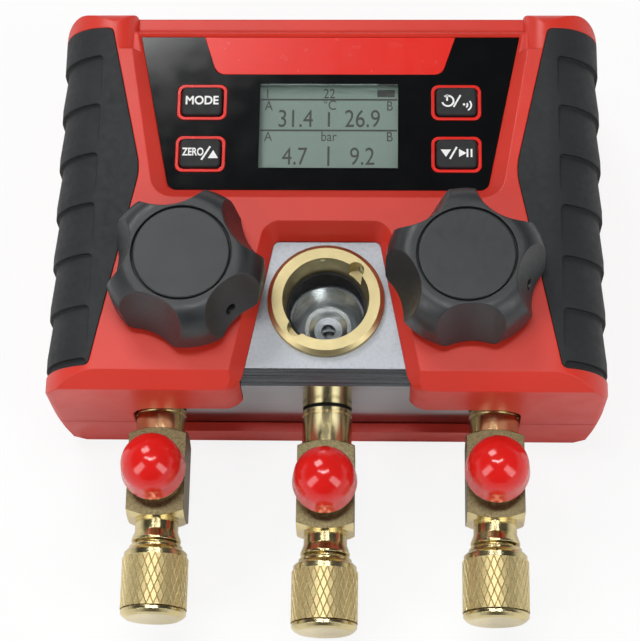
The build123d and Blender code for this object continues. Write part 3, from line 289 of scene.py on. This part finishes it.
def knurled_brass(name, colour):
    """Yellow brass pressed by a knurling wheel: dull and speckled on its lands."""
    material, tree = new_material(name)
    speckle = grain(tree, 0.35 * MM, 4.0)
    finish_surface(tree, {
        "Base Color": blend_colours(tree, speckle, shaded(colour, 0.80), shaded(colour, 1.15)),
        "Metallic": 1.0,
        "Roughness": spread(tree, speckle, 0.40, 0.54),
        "Normal": relief(tree, speckle, 0.02 * MM, 0.6),
    })
    return material


def faced_brass(name, colour, centre):
    """Brass faced on a lathe: fine rings round an upright axis through the centre."""
    material, tree = new_material(name)
    place = add_node(tree, "TexCoord").outputs["Object"]
    flat = add_node(tree, "Mapping", inputs={
        "Vector": place, "Location": (-centre.x, -centre.y, 0.0), "Scale": (1.0, 1.0, 0.0)})
    radius = add_node(tree, "VectorMath", {"operation": "LENGTH"}, {0: flat.outputs["Vector"]})
    rings = add_node(tree, "TexNoise", {"noise_dimensions": "1D"}, {
        "W": radius.outputs["Value"], "Scale": 1.0 / (0.3 * MM), "Detail": 2.0})
    finish_surface(tree, {
        "Base Color": blend_colours(tree, grain(tree, 6 * MM, 3.0), shaded(colour, 0.70), shaded(colour, 0.84)),
        "Metallic": 1.0,
        "Roughness": spread(tree, rings.outputs["Fac"], 0.36, 0.46),
        "Normal": relief(tree, rings.outputs["Fac"], 0.01 * MM, 0.5, 0.2 * MM),
    })
    return material


def polished_metal(name, colour):
    """A bored and polished well: mirror-bright, with the reamer's rings."""
    material, tree = new_material(name)
    rings = grain(tree, 0.4 * MM, 2.0, (0.02, 0.02, 1.0))
    finish_surface(tree, {
        "Base Color": blend_colours(tree, grain(tree, 4 * MM), shaded(colour, 0.9), shaded(colour, 1.05)),
        "Metallic": 1.0,
        "Roughness": spread(tree, rings, 0.16, 0.26),
        "Normal": relief(tree, rings, 0.012 * MM, 0.5, 0.2 * MM),
    })
    return material


def zinc_steel(name, colour):
    """Zinc-plated steel: pale, a little cloudy, with softened edges."""
    material, tree = new_material(name)
    finish_surface(tree, {
        "Base Color": blend_colours(tree, grain(tree, 2 * MM, 3.0), shaded(colour, 0.85), shaded(colour, 1.1)),
        "Metallic": 1.0,
        "Roughness": spread(tree, grain(tree, 1 * MM), 0.28, 0.42),
        "Normal": relief(tree, grain(tree, 0.3 * MM), 0.008 * MM, 0.4, 0.15 * MM),
    })
    return material


def glossy_vinyl(name, colour):
    """Dip-moulded vinyl: saturated, wet-looking and faintly wavy."""
    material, tree = new_material(name)
    finish_surface(tree, {
        "Base Color": blend_colours(tree, grain(tree, 10 * MM), shaded(colour, 0.95), shaded(colour, 1.05)),
        "Roughness": spread(tree, grain(tree, 3 * MM), 0.10, 0.16),
        "Normal": relief(tree, grain(tree, 5 * MM), 0.05 * MM, 0.15, 0.3 * MM),
        "IOR": 1.53,
        "Subsurface Weight": 0.08,
        "Subsurface Radius": (0.002, 0.0008, 0.0006),
    })
    return material


def liquid_crystal(name, colour):
    """The display's grey-green polariser: matt, with the faint mesh of its pixels."""
    material, tree = new_material(name)
    place = add_node(tree, "TexCoord").outputs["Object"]
    pixels = add_node(tree, "TexBrick", {"offset": 0.0}, {
        "Vector": place, "Scale": 1.0 / MM, "Brick Width": 0.4, "Row Height": 0.4, "Mortar Size": 0.03,
        "Color1": shaded(colour, 1.0), "Color2": shaded(colour, 0.98), "Mortar": shaded(colour, 0.9)})
    finish_surface(tree, {
        "Base Color": pixels.outputs["Color"],
        "Roughness": spread(tree, grain(tree, 0.5 * MM), 0.42, 0.5),
        "Normal": relief(tree, grain(tree, 0.3 * MM), 0.004 * MM, 0.3),
    })
    return material


def printed_ink(name, colour):
    """Screen-printed or liquid-crystal marks: flat and even, with a slightly soft face."""
    material, tree = new_material(name)
    finish_surface(tree, {
        "Base Color": blend_colours(tree, grain(tree, 1 * MM), shaded(colour, 0.94), shaded(colour, 1.04)),
        "Roughness": spread(tree, grain(tree, 0.5 * MM), 0.45, 0.55),
    })
    return material


def clear_glass(name, colour):
    """Clear glass that lets the light through to what lies behind it."""
    material, tree = new_material(name)
    glass = add_node(tree, "BsdfPrincipled", inputs={
        "Base Color": shaded(colour, 1.0), "Transmission Weight": 1.0, "Roughness": 0.02, "IOR": 1.5})
    tree.links.new(relief(tree, grain(tree, 8 * MM), 0.004 * MM, 0.05), glass.inputs["Normal"])
    open_air = add_node(tree, "BsdfTransparent")
    shadow = add_node(tree, "LightPath").outputs["Is Shadow Ray"]
    both = add_node(tree, "MixShader", inputs={0: shadow, 1: glass.outputs["BSDF"], 2: open_air.outputs["BSDF"]})
    add_node(tree, "OutputMaterial", inputs={"Surface": both.outputs["Shader"]})
    return material


def plain_board(name, colour):
    """Lacquered circuit board: a sheen over a woven core."""
    material, tree = new_material(name)
    weave = grain(tree, 0.6 * MM, 1.0, (1.0, 0.4, 1.0))
    finish_surface(tree, {
        "Base Color": blend_colours(tree, weave, shaded(colour, 0.9), shaded(colour, 1.1)),
        "Roughness": spread(tree, weave, 0.3, 0.4),
        "Normal": relief(tree, weave, 0.01 * MM, 0.3),
    })
    return material


# ---- settings ---------------------------------------------------------------------------------------

def colour_property(title, about, hex_colour):
    return FloatVectorProperty(name=title, description=about, subtype="COLOR", size=3, min=0.0, max=1.0,
                               default=linear(hex_colour))


def length_property(title, about, metres):
    return FloatProperty(name=title, description=about, default=metres, min=0.0, unit="LENGTH",
                         subtype="DISTANCE", precision=5)


class GaugeFinishSettings(PropertyGroup):
    housing: colour_property("Housing", "Moulded red of both housing halves", "D03020")
    header: colour_property("Header plate", "Brighter red of the plate and the key frames", "DC2419")
    rubber: colour_property("Grips", "Rubber of the two side grips", "1D1F21")
    keys: colour_property("Keys", "Rubber of the four keys", "17181A")
    knobs: colour_property("Knobs", "Nylon of the valve knobs", "232527")
    film: colour_property("Panel film", "Black film round the display", "08090B")
    crystal: colour_property("Display", "Ground of the liquid crystal display", "52625B")
    marks: colour_property("Display marks", "Darkened marks on the display", "0E1312")
    legend: colour_property("Key legends", "White print on the keys", "E8E8E6")
    aluminium: colour_property("Manifold block", "Bare aluminium", "A6AAAF")
    brass: colour_property("Brass", "Yellow brass of the fittings", "D8C896")
    well: colour_property("Sight glass well", "Polished metal under the glass", "C9CCCE")
    steel: colour_property("Steel", "Zinc-plated screws and hook", "B4B7BA")
    dust_caps: colour_property("Dust caps", "Vinyl of the three domed caps", "D81E1A")
    seals: colour_property("Seals", "Black seal rubber", "101011")
    glass: colour_property("Glass", "Display window and sight glass", "FAFCFB")


class GaugeDetailSettings(PropertyGroup):
    knurl_root: length_property("Knurl root", "Radius at the foot of the knurl's grooves", 8.6 * MM)
    knurl_depth: length_property("Knurl depth", "How far the knurl's lands stand over its grooves", 0.26 * MM)
    knurl_groove: length_property("Knurl flank", "Width of each flank of a groove", 0.15 * MM)
    knurl_width: length_property("Knurl width", "Width of one diamond round the cap", 1.72 * MM)
    knurl_height: length_property("Knurl height", "Length of one diamond along the cap", 4.6 * MM)
    knurl_start: length_property("Knurl start", "From the lip of a cap to its knurl", 3.6 * MM)
    knurl_end: length_property("Knurl end", "From the lip of a cap to the end of its knurl", 17.3 * MM)
    thread_root: length_property("Thread root", "Radius at the foot of a port's thread", 5.12 * MM)
    thread_crest: length_property("Thread crest", "Radius over a port's thread", 5.56 * MM)
    thread_pitch: length_property("Thread pitch", "From one turn of the thread to the next", 1.27 * MM)
    thread_length: length_property("Thread length", "Length of thread on a hose port", 12.4 * MM)
    digit_height: length_property("Digit height", "Height of the large digits", 5.2 * MM)
    label_height: length_property("Label height", "Height of the small labels on the display", 2.9 * MM)
    line_width: length_property("Line width", "Width of the printed lines", 0.5 * MM)
    print_thickness: length_property("Print thickness", "Thickness of the printed marks", 0.04 * MM)


class GaugeStudioSettings(PropertyGroup):
    floor: colour_property("Floor", "Pale floor and backdrop", "FFFFFF")
    side_power: FloatProperty(name="Side lights", description="Power of the two large side lamps", default=4.6,
                              min=0.0, unit="POWER")
    strip_power: FloatProperty(name="Strip lights", description="Power of the two narrow lamps", default=2.0,
                               min=0.0, unit="POWER")
    back_power: FloatProperty(name="Back light", description="Power of the lamp beyond the display", default=6.0,
                              min=0.0, unit="POWER")
    sky: FloatProperty(name="Surround", description="Strength of the surround near the floor", default=0.75,
                       min=0.0)
    overhead: FloatProperty(name="Overhead", description="Strength of the surround overhead", default=0.06,
                            min=0.0)


# ---- shared modelling steps -----------------------------------------------------------------------------

def deselect_all():
    bpy.ops.object.select_all(action="DESELECT")


def active():
    return bpy.context.view_layer.objects.active


def edit(obj):
    bpy.context.view_layer.objects.active = obj
    bpy.ops.object.mode_set(mode="EDIT")


def leave_edit():
    bpy.ops.object.mode_set(mode="OBJECT")


def choose(obj, kind, keep):
    """Selects the vertices, edges or faces of the mesh being edited that pass a test."""
    mesh = bmesh.from_edit_mesh(obj.data)
    bpy.ops.mesh.select_all(action="DESELECT")
    for element in getattr(mesh, kind):
        if keep(element):
            element.select_set(True)
    mesh.select_flush_mode()
    bmesh.update_edit_mesh(obj.data)


def settle(obj, name, body, material):
    """Names a finished piece, puts its place in its mesh, and gives it a body and a finish."""
    deselect_all()
    obj.select_set(True)
    bpy.context.view_layer.objects.active = obj
    bpy.ops.object.transform_apply(location=True, rotation=True, scale=True)
    obj.name = name
    obj.data.name = name
    obj.data.materials.clear()
    obj.data.materials.append(material)
    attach(obj, body)
    return obj


def join_all(objects):
    deselect_all()
    for obj in objects:
        obj.select_set(True)
    bpy.context.view_layer.objects.active = objects[0]
    bpy.ops.object.join()
    return active()


def centre_of(node):
    low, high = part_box(node)
    return (Vector(low) + Vector(high)) / 2


def flat_text(words, height, place, squeeze=1.0, thicken_by=0.0):
    """Generic characters as a thin flat mesh, centred on a place, with strokes thickened by a share."""
    deselect_all()
    bpy.ops.object.text_add(location=place)
    text = active()
    text.data.body = words
    text.data.size = height / CAPITAL_SHARE
    text.data.offset = height * thicken_by
    text.data.align_x = "CENTER"
    text.data.align_y = "CENTER"
    text.scale.x = squeeze
    text.data.extrude = bpy.context.scene.gauge_detail.print_thickness / 2
    bpy.ops.object.convert(target="MESH")
    return active()


def bold_text(words, height, place, squeeze=1.0):
    """Generic characters with thickened strokes."""
    return flat_text(words, height, place, squeeze, BOLD_SHARE)


def flat_patch(vertices, radius, place, turn=0.0, stretch=(1.0, 1.0)):
    """A thin printed patch with this many corners, turned and stretched about its centre."""
    deselect_all()
    bpy.ops.mesh.primitive_circle_add(vertices=vertices, radius=radius, fill_type="NGON", location=place,
                                      rotation=(0, 0, turn))
    patch = active()
    patch.scale = (stretch[0], stretch[1], 1.0)
    thicken(patch)
    return patch


def flat_bar(width, height, place, turn=0.0):
    """A thin printed bar centred on a place."""
    deselect_all()
    bpy.ops.mesh.primitive_plane_add(size=1.0, location=place, rotation=(0, 0, turn))
    bar = active()
    bar.scale = (width, height, 1.0)
    thicken(bar)
    return bar


def thicken(obj):
    """Extrudes a flat face up by the print thickness."""
    edit(obj)
    bpy.ops.mesh.select_all(action="SELECT")
    thickness = bpy.context.scene.gauge_detail.print_thickness
    bpy.ops.mesh.extrude_region_move(TRANSFORM_OT_translate={"value": (0, 0, thickness)})
    leave_edit()


def flat_arc(radius, width, place, start, end):
    """A thin printed arc, swept from a short edge by spinning."""
    deselect_all()
    bpy.ops.mesh.primitive_plane_add(size=width, location=(radius, 0, 0))
    arc = active()
    edit(arc)
    low_edge = min(v.co.y for v in bmesh.from_edit_mesh(arc.data).verts)
    choose(arc, "verts", lambda v: v.co.y > low_edge + width / 2)
    bpy.ops.mesh.delete(type="VERT")
    bpy.ops.mesh.select_all(action="SELECT")
    bpy.ops.mesh.spin(steps=24, angle=end - start, center=(0, -width / 2, 0), axis=(0, 0, 1))
    bpy.ops.mesh.select_all(action="SELECT")
    bpy.ops.mesh.normals_make_consistent(inside=False)
    leave_edit()
    arc.matrix_world = Matrix.Translation(place) @ Matrix.Rotation(start, 4, "Z") @ arc.matrix_world
    bpy.ops.object.transform_apply(location=True, rotation=True, scale=True)
    thicken(arc)
    return arc


def turn_profile(profile, place, segments=96):
    """A turned surface: a circle extruded from one radius and height to the next."""
    deselect_all()
    radius, height = profile[0]
    bpy.ops.mesh.primitive_circle_add(vertices=segments, radius=radius,
                                      location=(place.x, place.y, place.z + height))
    obj = active()
    edit(obj)
    bpy.ops.mesh.select_all(action="SELECT")
    for next_radius, next_height in profile[1:]:
        rise = (0, 0, next_height - height)
        bpy.ops.mesh.extrude_region_move(TRANSFORM_OT_translate={"value": rise})
        ratio = next_radius / radius
        bpy.ops.transform.resize(value=(ratio, ratio, 1),
                                 center_override=(place.x, place.y, place.z + next_height))
        radius, height = next_radius, next_height
    bpy.ops.mesh.select_all(action="SELECT")
    bpy.ops.mesh.normals_make_consistent(inside=False)
    leave_edit()
    return obj


# ---- operators --------------------------------------------------------------------------------------------

def node_finishes(finish):
    """Material slots of the frame and the finish of each."""
    ring = centre_of("sight_glass_ring")
    return {
        "housing_red": moulded_abs("satin_red_abs", finish.housing),
        "header_red": glossy_abs("polished_red_abs", finish.header),
        "grip_rubber": overmoulded_rubber("black_overmoulded_rubber", finish.rubber),
        "panel_black": gloss_film("black_polyester_film", finish.film),
        "window_glass": clear_glass("display_window_glass", finish.glass),
        "lcd_face": liquid_crystal("liquid_crystal_polariser", finish.crystal),
        "board_green": plain_board("lacquered_board", linear("2A6B3C")),
        "switch_black": glass_filled_nylon("switch_nylon", linear("1A1A1A")),
        "cell_jacket": glossy_abs("cell_jacket_film", linear("30343A")),
        "steel": zinc_steel("zinc_plated_steel", finish.steel),
        "aluminium_block": machined_aluminium("machined_aluminium", finish.aluminium),
        "brass": turned_brass("turned_brass", finish.brass),
        "ring_brass": faced_brass("faced_brass", finish.brass, ring),
        "seal_rubber": overmoulded_rubber("black_seal_rubber", finish.seals),
        "lens_glass": clear_glass("sight_glass", finish.glass),
        "key_rubber": overmoulded_rubber("black_key_rubber", finish.keys),
        "knob_black": glass_filled_nylon("black_glass_filled_nylon", finish.knobs),
        "dust_cap_red": glossy_vinyl("glossy_red_vinyl", finish.dust_caps),
    }


class GAUGE_OT_finish_parts(Operator):
    """Give every part of the frame its finish"""
    bl_idname = "gauge.finish_parts"
    bl_label = "Finish Parts"

    def execute(self, context):
        finishes = node_finishes(context.scene.gauge_finish)
        special = {"sight_glass_ring": "ring_brass"}
        for part in frame["record"]["subparts"]:
            obj = frame["nodes"][part["node"]]
            finish = finishes[special.get(part["node"], part["material_slot"])]
            for slot in obj.material_slots:
                slot.material = finish
            if not obj.material_slots:
                obj.data.materials.append(finish)
        return {"FINISHED"}


class GAUGE_OT_knurl_caps(Operator):
    """Roll a diamond knurl onto each port cap"""
    bl_idname = "gauge.knurl_caps"
    bl_label = "Knurl Port Caps"

    def execute(self, context):
        detail = context.scene.gauge_detail
        brass = knurled_brass("knurled_brass", context.scene.gauge_finish.brass)
        for port in PORTS:
            low, high = (Vector(v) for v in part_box(f"port_cap_{port}"))
            centre = (low + high) / 2
            start, end = high.y - detail.knurl_start, high.y - detail.knurl_end
            obj = knurled_sleeve(Vector((centre.x, start, centre.z)), start - end, detail)
            settle(obj, f"port_cap_knurl_{port}", f"port_cap_{port}", brass)
        return {"FINISHED"}


def knurled_sleeve(place, length, detail):
    """A sleeve of raised diamonds round the Y axis, from its place towards -Y: one diamond, spun and copied."""
    count = round(2 * math.pi * detail.knurl_root / detail.knurl_width)
    width = 2 * detail.knurl_root * math.tan(math.pi / count)
    rows = math.ceil(length / detail.knurl_height)
    height = length / rows
    deselect_all()
    bpy.ops.mesh.primitive_circle_add(vertices=4, radius=1.0, fill_type="NGON",
                                      location=(0, 0, detail.knurl_root))
    obj = active()
    obj.scale = (width / 2, height / 2, 1.0)
    bpy.ops.object.transform_apply(location=True, rotation=True, scale=True)
    edit(obj)
    bpy.ops.mesh.select_all(action="SELECT")
    bpy.ops.mesh.inset(thickness=detail.knurl_groove, depth=detail.knurl_depth)
    bpy.ops.mesh.select_all(action="SELECT")
    bpy.ops.mesh.spin(steps=count - 1, dupli=True, angle=2 * math.pi * (count - 1) / count,
                      center=(0, 0, 0), axis=(0, 1, 0))
    bpy.ops.mesh.select_all(action="SELECT")
    bpy.ops.mesh.duplicate_move(TRANSFORM_OT_translate={"value": (0, -height / 2, 0)})
    bpy.ops.transform.rotate(value=math.pi / count, orient_axis="Y", center_override=(0, 0, 0))
    bpy.ops.mesh.select_all(action="SELECT")
    for _ in range(rows):
        bpy.ops.mesh.duplicate_move(TRANSFORM_OT_translate={"value": (0, -height, 0)})
    for edge, way in ((0, 1), (-length, -1)):
        bpy.ops.mesh.select_all(action="SELECT")
        bpy.ops.mesh.bisect(plane_co=(0, edge, 0), plane_no=(0, way, 0), clear_outer=True)
    leave_edit()
    obj.location = place
    return obj


def male_thread(place, root, crest, pitch, length):
    """A helical thread down the -Y axis: one V profile carried round and along by a screw."""
    deselect_all()
    bpy.ops.mesh.primitive_circle_add(vertices=4, radius=1.0, fill_type="NOTHING", location=(0, 0, root))
    obj = active()
    obj.rotation_euler = (0, math.pi / 2, 0)
    obj.scale = (crest - root, pitch * 0.42, 1.0)
    bpy.ops.object.transform_apply(location=True, rotation=True, scale=True)
    screw = obj.modifiers.new("thread", "SCREW")
    screw.axis = "Y"
    screw.angle = -2 * math.pi
    screw.screw_offset = -pitch
    screw.iterations = max(int(length / pitch), 1)
    screw.steps = screw.render_steps = 64
    screw.use_normal_calculate = True
    bpy.ops.object.modifier_apply(modifier=screw.name)
    obj.location = place
    return obj


class GAUGE_OT_flare_threads(Operator):
    """Cut the thread on each hose port"""
    bl_idname = "gauge.flare_threads"
    bl_label = "Flare Threads"

    def execute(self, context):
        detail = context.scene.gauge_detail
        brass = bpy.data.materials["turned_brass"]
        for port in PORTS:
            low, high = (Vector(v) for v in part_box(f"port_tee_{port}"))
            centre = (low + high) / 2
            place = Vector((centre.x, low.y + detail.thread_length, PORT_Z))
            obj = male_thread(place, detail.thread_root, detail.thread_crest, detail.thread_pitch,
                              detail.thread_length - detail.thread_pitch)
            settle(obj, f"flare_thread_{port}", ROOT, brass)
        return {"FINISHED"}


class GAUGE_OT_sight_glass_well(Operator):
    """Line the well under the sight glass with its polished cone"""
    bl_idname = "gauge.sight_glass_well"
    bl_label = "Sight Glass Well"

    def execute(self, context):
        metal = polished_metal("polished_well_metal", context.scene.gauge_finish.well)
        lens_low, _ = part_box("sight_glass_lens")
        place = Vector((centre_of("sight_glass_lens").x, centre_of("sight_glass_lens").y, lens_low[2]))
        obj = turn_profile([(r * MM, h * MM) for r, h in WELL_PROFILE], place)
        bpy.ops.object.shade_smooth_by_angle(angle=math.radians(25))
        settle(obj, "sight_glass_well", ROOT, metal)
        return {"FINISHED"}


class GAUGE_OT_display_marks(Operator):
    """Write plain readings, labels and rules on the display"""
    bl_idname = "gauge.display_marks"
    bl_label = "Display Marks"

    def execute(self, context):
        detail = context.scene.gauge_detail
        low, high = (Vector(v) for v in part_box("lcd_module"))
        window_low, window_high = (Vector(v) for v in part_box("display_window"))
        x = (window_low.x + window_high.x) / 2
        top = window_high.y
        z = high.z + detail.print_thickness
        pieces = []
        for words, across, down in DIGITS:
            place = (x + across * MM, top - down * MM, z)
            pieces.append(flat_text(words, detail.digit_height, place, DIGIT_SQUEEZE))
        for words, across, down in LABELS:
            place = (x + across * MM, top - down * MM, z)
            pieces.append(flat_text(words, detail.label_height, place, LABEL_SQUEEZE))
        for width, height, across, down in RULES:
            pieces.append(flat_bar(width * MM, height * MM, (x + across * MM, top - down * MM, z)))
        ink = printed_ink("liquid_crystal_marks", context.scene.gauge_finish.marks)
        settle(join_all(pieces), "display_marks", ROOT, ink)
        return {"FINISHED"}


class GAUGE_OT_key_legends(Operator):
    """Print a plain sign on each key"""
    bl_idname = "gauge.key_legends"
    bl_label = "Key Legends"

    def execute(self, context):
        ink = printed_ink("white_key_print", context.scene.gauge_finish.legend)
        signs = {
            "button_upper_left": mode_sign, "button_lower_left": zero_sign,
            "button_upper_right": power_sign, "button_lower_right": hold_sign,
        }
        for key, sign in signs.items():
            _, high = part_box(key)
            place = centre_of(key)
            place.z = high[2] + 0.01 * MM
            settle(join_all(sign(place, context.scene.gauge_detail.line_width)), f"{key}_sign", key,
                   ink)
        return {"FINISHED"}


def shifted(place, x, y):
    return place + Vector((x * MM, y * MM, 0))


def mode_sign(place, line):
    return [bold_text("MODE", 2.45 * MM, shifted(place, 0, 0), 0.92)]


def zero_sign(place, line):
    return [bold_text("ZERO", 2.2 * MM, shifted(place, -1.9, 0.1), 0.72),
            flat_bar(4.6 * MM, line, shifted(place, 1.6, -0.2), math.radians(60)),
            flat_patch(3, 1.6 * MM, shifted(place, 3.6, -0.9), 0.0, (1.0, 1.0))]


def power_sign(place, line):
    return [flat_arc(1.55 * MM, line, shifted(place, -2.5, -0.1), math.radians(125), math.radians(415)),
            flat_bar(line, 1.9 * MM, shifted(place, -2.5, 1.0)),
            flat_bar(4.0 * MM, line, shifted(place, 0.2, 0), math.radians(62)),
            flat_arc(0.8 * MM, line * 0.9, shifted(place, 2.1, -1.0), math.radians(40), math.radians(140)),
            flat_arc(1.8 * MM, line * 0.9, shifted(place, 2.1, -1.0), math.radians(40), math.radians(140)),
            flat_patch(16, 0.35 * MM, shifted(place, 2.1, -1.0))]


def hold_sign(place, line):
    return [flat_patch(3, 1.6 * MM, shifted(place, -2.9, 0.3), math.pi, (1.0, 0.9)),
            flat_bar(4.0 * MM, line, shifted(place, -0.9, 0), math.radians(62)),
            flat_patch(3, 1.35 * MM, shifted(place, 1.3, 0.0), -math.pi / 2),
            flat_bar(line, 2.4 * MM, shifted(place, 2.9, 0)),
            flat_bar(line, 2.4 * MM, shifted(place, 4.0, 0))]


class GAUGE_OT_studio(Operator):
    """Set the gauge on a pale floor under soft lamps, with its camera"""
    bl_idname = "gauge.studio"
    bl_label = "Studio"

    def execute(self, context):
        studio = context.scene.gauge_studio
        add_floor(studio)
        add_surround(studio)
        for name, place, width, length, setting in LAMPS:
            add_lamp(name, Vector(place), width, length, getattr(studio, setting))
        add_camera(context.scene)
        return {"FINISHED"}


def white_for_camera(tree, shader, share, kind):
    """Mixes plain white into what the camera sees, by a share, and leaves all other rays alone."""
    path = add_node(tree, "LightPath")
    seen = add_node(tree, "Math", {"operation": "MULTIPLY"}, {0: path.outputs["Is Camera Ray"], 1: share})
    white = add_node(tree, kind, inputs={"Color": (1, 1, 1, 1), "Strength": 1.0})
    return add_node(tree, "MixShader", inputs={0: seen.outputs[0], 1: shader, 2: white.outputs[0]})


def add_floor(studio):
    bpy.ops.mesh.primitive_grid_add(x_subdivisions=2, y_subdivisions=2, size=FLOOR_SIZE,
                                    location=(0, 0, -FLOOR_DROP))
    floor = active()
    floor.name = "studio_floor"
    material, tree = new_material("white_studio_paper")
    paper = add_node(tree, "BsdfPrincipled", inputs={
        "Base Color": shaded(studio.floor, 0.92),
        "Roughness": spread(tree, grain(tree, 2 * MM), 0.75, 0.85),
    })
    both = white_for_camera(tree, paper.outputs["BSDF"], 0.85, "Emission")
    add_node(tree, "OutputMaterial", inputs={"Surface": both.outputs[0]})
    floor.data.materials.append(material)


def add_surround(studio):
    """White near the floor, dim overhead, with a dark card beyond the ports, and white to the camera."""
    world = bpy.data.worlds.new("white_surround")
    bpy.context.scene.world = world
    world.use_nodes = True
    tree = world.node_tree
    tree.nodes.clear()
    way = add_node(tree, "SeparateXYZ", inputs={"Vector": add_node(tree, "TexCoord").outputs["Generated"]})
    height = add_node(tree, "MapRange", {"interpolation_type": "SMOOTHSTEP"}, {
        "Value": way.outputs["Z"], "From Min": 0.10, "From Max": 0.50, "To Min": studio.sky,
        "To Max": studio.overhead})
    front = add_node(tree, "MapRange", {"interpolation_type": "SMOOTHSTEP"}, {
        "Value": way.outputs["Y"], "From Min": -0.92, "From Max": -0.75, "To Min": 1.0, "To Max": 0.0})
    above = add_node(tree, "MapRange", {"interpolation_type": "SMOOTHSTEP"}, {
        "Value": way.outputs["Z"], "From Min": 0.12, "From Max": 0.22, "To Min": 0.0, "To Max": 0.8})
    card = add_node(tree, "Math", {"operation": "MULTIPLY"}, {0: front.outputs[0], 1: above.outputs[0]})
    open_part = add_node(tree, "Math", {"operation": "SUBTRACT"}, {0: 1.0, 1: card.outputs[0]})
    strength = add_node(tree, "Math", {"operation": "MULTIPLY"}, {0: height.outputs[0], 1: open_part.outputs[0]})
    dim = add_node(tree, "Background", inputs={"Color": (1, 1, 1, 1), "Strength": strength.outputs[0]})
    both = white_for_camera(tree, dim.outputs[0], 1.0, "Background")
    add_node(tree, "OutputWorld", inputs={"Surface": both.outputs[0]})


def add_lamp(name, place, width, length, power):
    """A rectangular soft lamp that faces the middle of the gauge."""
    lamp = bpy.data.lights.new(name, "AREA")
    lamp.shape = "RECTANGLE"
    lamp.size = width
    lamp.size_y = length
    lamp.energy = power
    obj = bpy.data.objects.new(name, lamp)
    bpy.context.collection.objects.link(obj)
    obj.location = place
    aim = LAMP_AIM - place
    obj.rotation_euler = aim.to_track_quat("-Z", "Y").to_euler()


CAMERA_DISTANCE = 591.0 * MM
CAMERA_TILT = math.radians(19.7)
CAMERA_YAW = math.radians(-1.97)
CAMERA_ROLL = math.radians(0.965)
CAMERA_SHIFT_X = -3.11 * MM
CAMERA_LOOK_Y = -17.8 * MM
LENS_OVER_WIDTH = 2050 / 640
SENSOR = 36.0


def add_camera(scene):
    """Looks down on the gauge from its port side, turned a little about the gauge's long axis."""
    data = bpy.data.cameras.new("studio_camera")
    data.sensor_fit = "HORIZONTAL"
    data.sensor_width = SENSOR
    data.lens = LENS_OVER_WIDTH * SENSOR
    data.clip_start = 0.01
    data.clip_end = 20.0
    camera = bpy.data.objects.new("studio_camera", data)
    bpy.context.collection.objects.link(camera)
    sin_t, cos_t = math.sin(CAMERA_TILT), math.cos(CAMERA_TILT)
    place = Vector((CAMERA_SHIFT_X, CAMERA_LOOK_Y - CAMERA_DISTANCE * sin_t, CAMERA_DISTANCE * cos_t))
    right, up, back = Vector((1, 0, 0)), Vector((0, cos_t, sin_t)), Vector((0, -sin_t, cos_t))
    cos_r, sin_r = math.cos(CAMERA_ROLL), math.sin(CAMERA_ROLL)
    rolled_right = right * cos_r + up * sin_r
    rolled_up = up * cos_r - right * sin_r
    turn = Matrix.Rotation(CAMERA_YAW, 4, "Y").inverted()
    axes = Matrix((rolled_right, rolled_up, back)).transposed().to_4x4()
    camera.matrix_world = turn @ Matrix.Translation(place) @ axes
    scene.camera = camera


class GAUGE_PT_dressing(Panel):
    """Lists the gauge's settings and steps"""
    bl_idname = "GAUGE_PT_dressing"
    bl_label = "Manifold Gauge"
    bl_space_type = "VIEW_3D"
    bl_region_type = "UI"
    bl_category = "Gauge"

    def draw(self, context):
        for name in ("gauge_finish", "gauge_detail", "gauge_studio"):
            settings = getattr(context.scene, name)
            box = self.layout.box()
            for key in settings.__annotations__:
                box.prop(settings, key)
        for step in STEPS:
            self.layout.operator(step.bl_idname)


STEPS = (
    GAUGE_OT_finish_parts,
    GAUGE_OT_knurl_caps,
    GAUGE_OT_flare_threads,
    GAUGE_OT_sight_glass_well,
    GAUGE_OT_display_marks,
    GAUGE_OT_key_legends,
    GAUGE_OT_studio,
)
SETTINGS = {"gauge_finish": GaugeFinishSettings, "gauge_detail": GaugeDetailSettings,
            "gauge_studio": GaugeStudioSettings}


def register():
    for cls in (*SETTINGS.values(), *STEPS, GAUGE_PT_dressing):
        bpy.utils.register_class(cls)
    for name, cls in SETTINGS.items():
        setattr(bpy.types.Scene, name, PointerProperty(type=cls))


def unregister():
    for name in SETTINGS:
        delattr(bpy.types.Scene, name)
    for cls in reversed((*SETTINGS.values(), *STEPS, GAUGE_PT_dressing)):
        bpy.utils.unregister_class(cls)


def main():
    register()
    bpy.context.scene.view_settings.view_transform = "Standard"
    for step in STEPS:
        group, name = step.bl_idname.split(".")
        getattr(getattr(bpy.ops, group), name)()


if __name__ == "__main__":
    main()
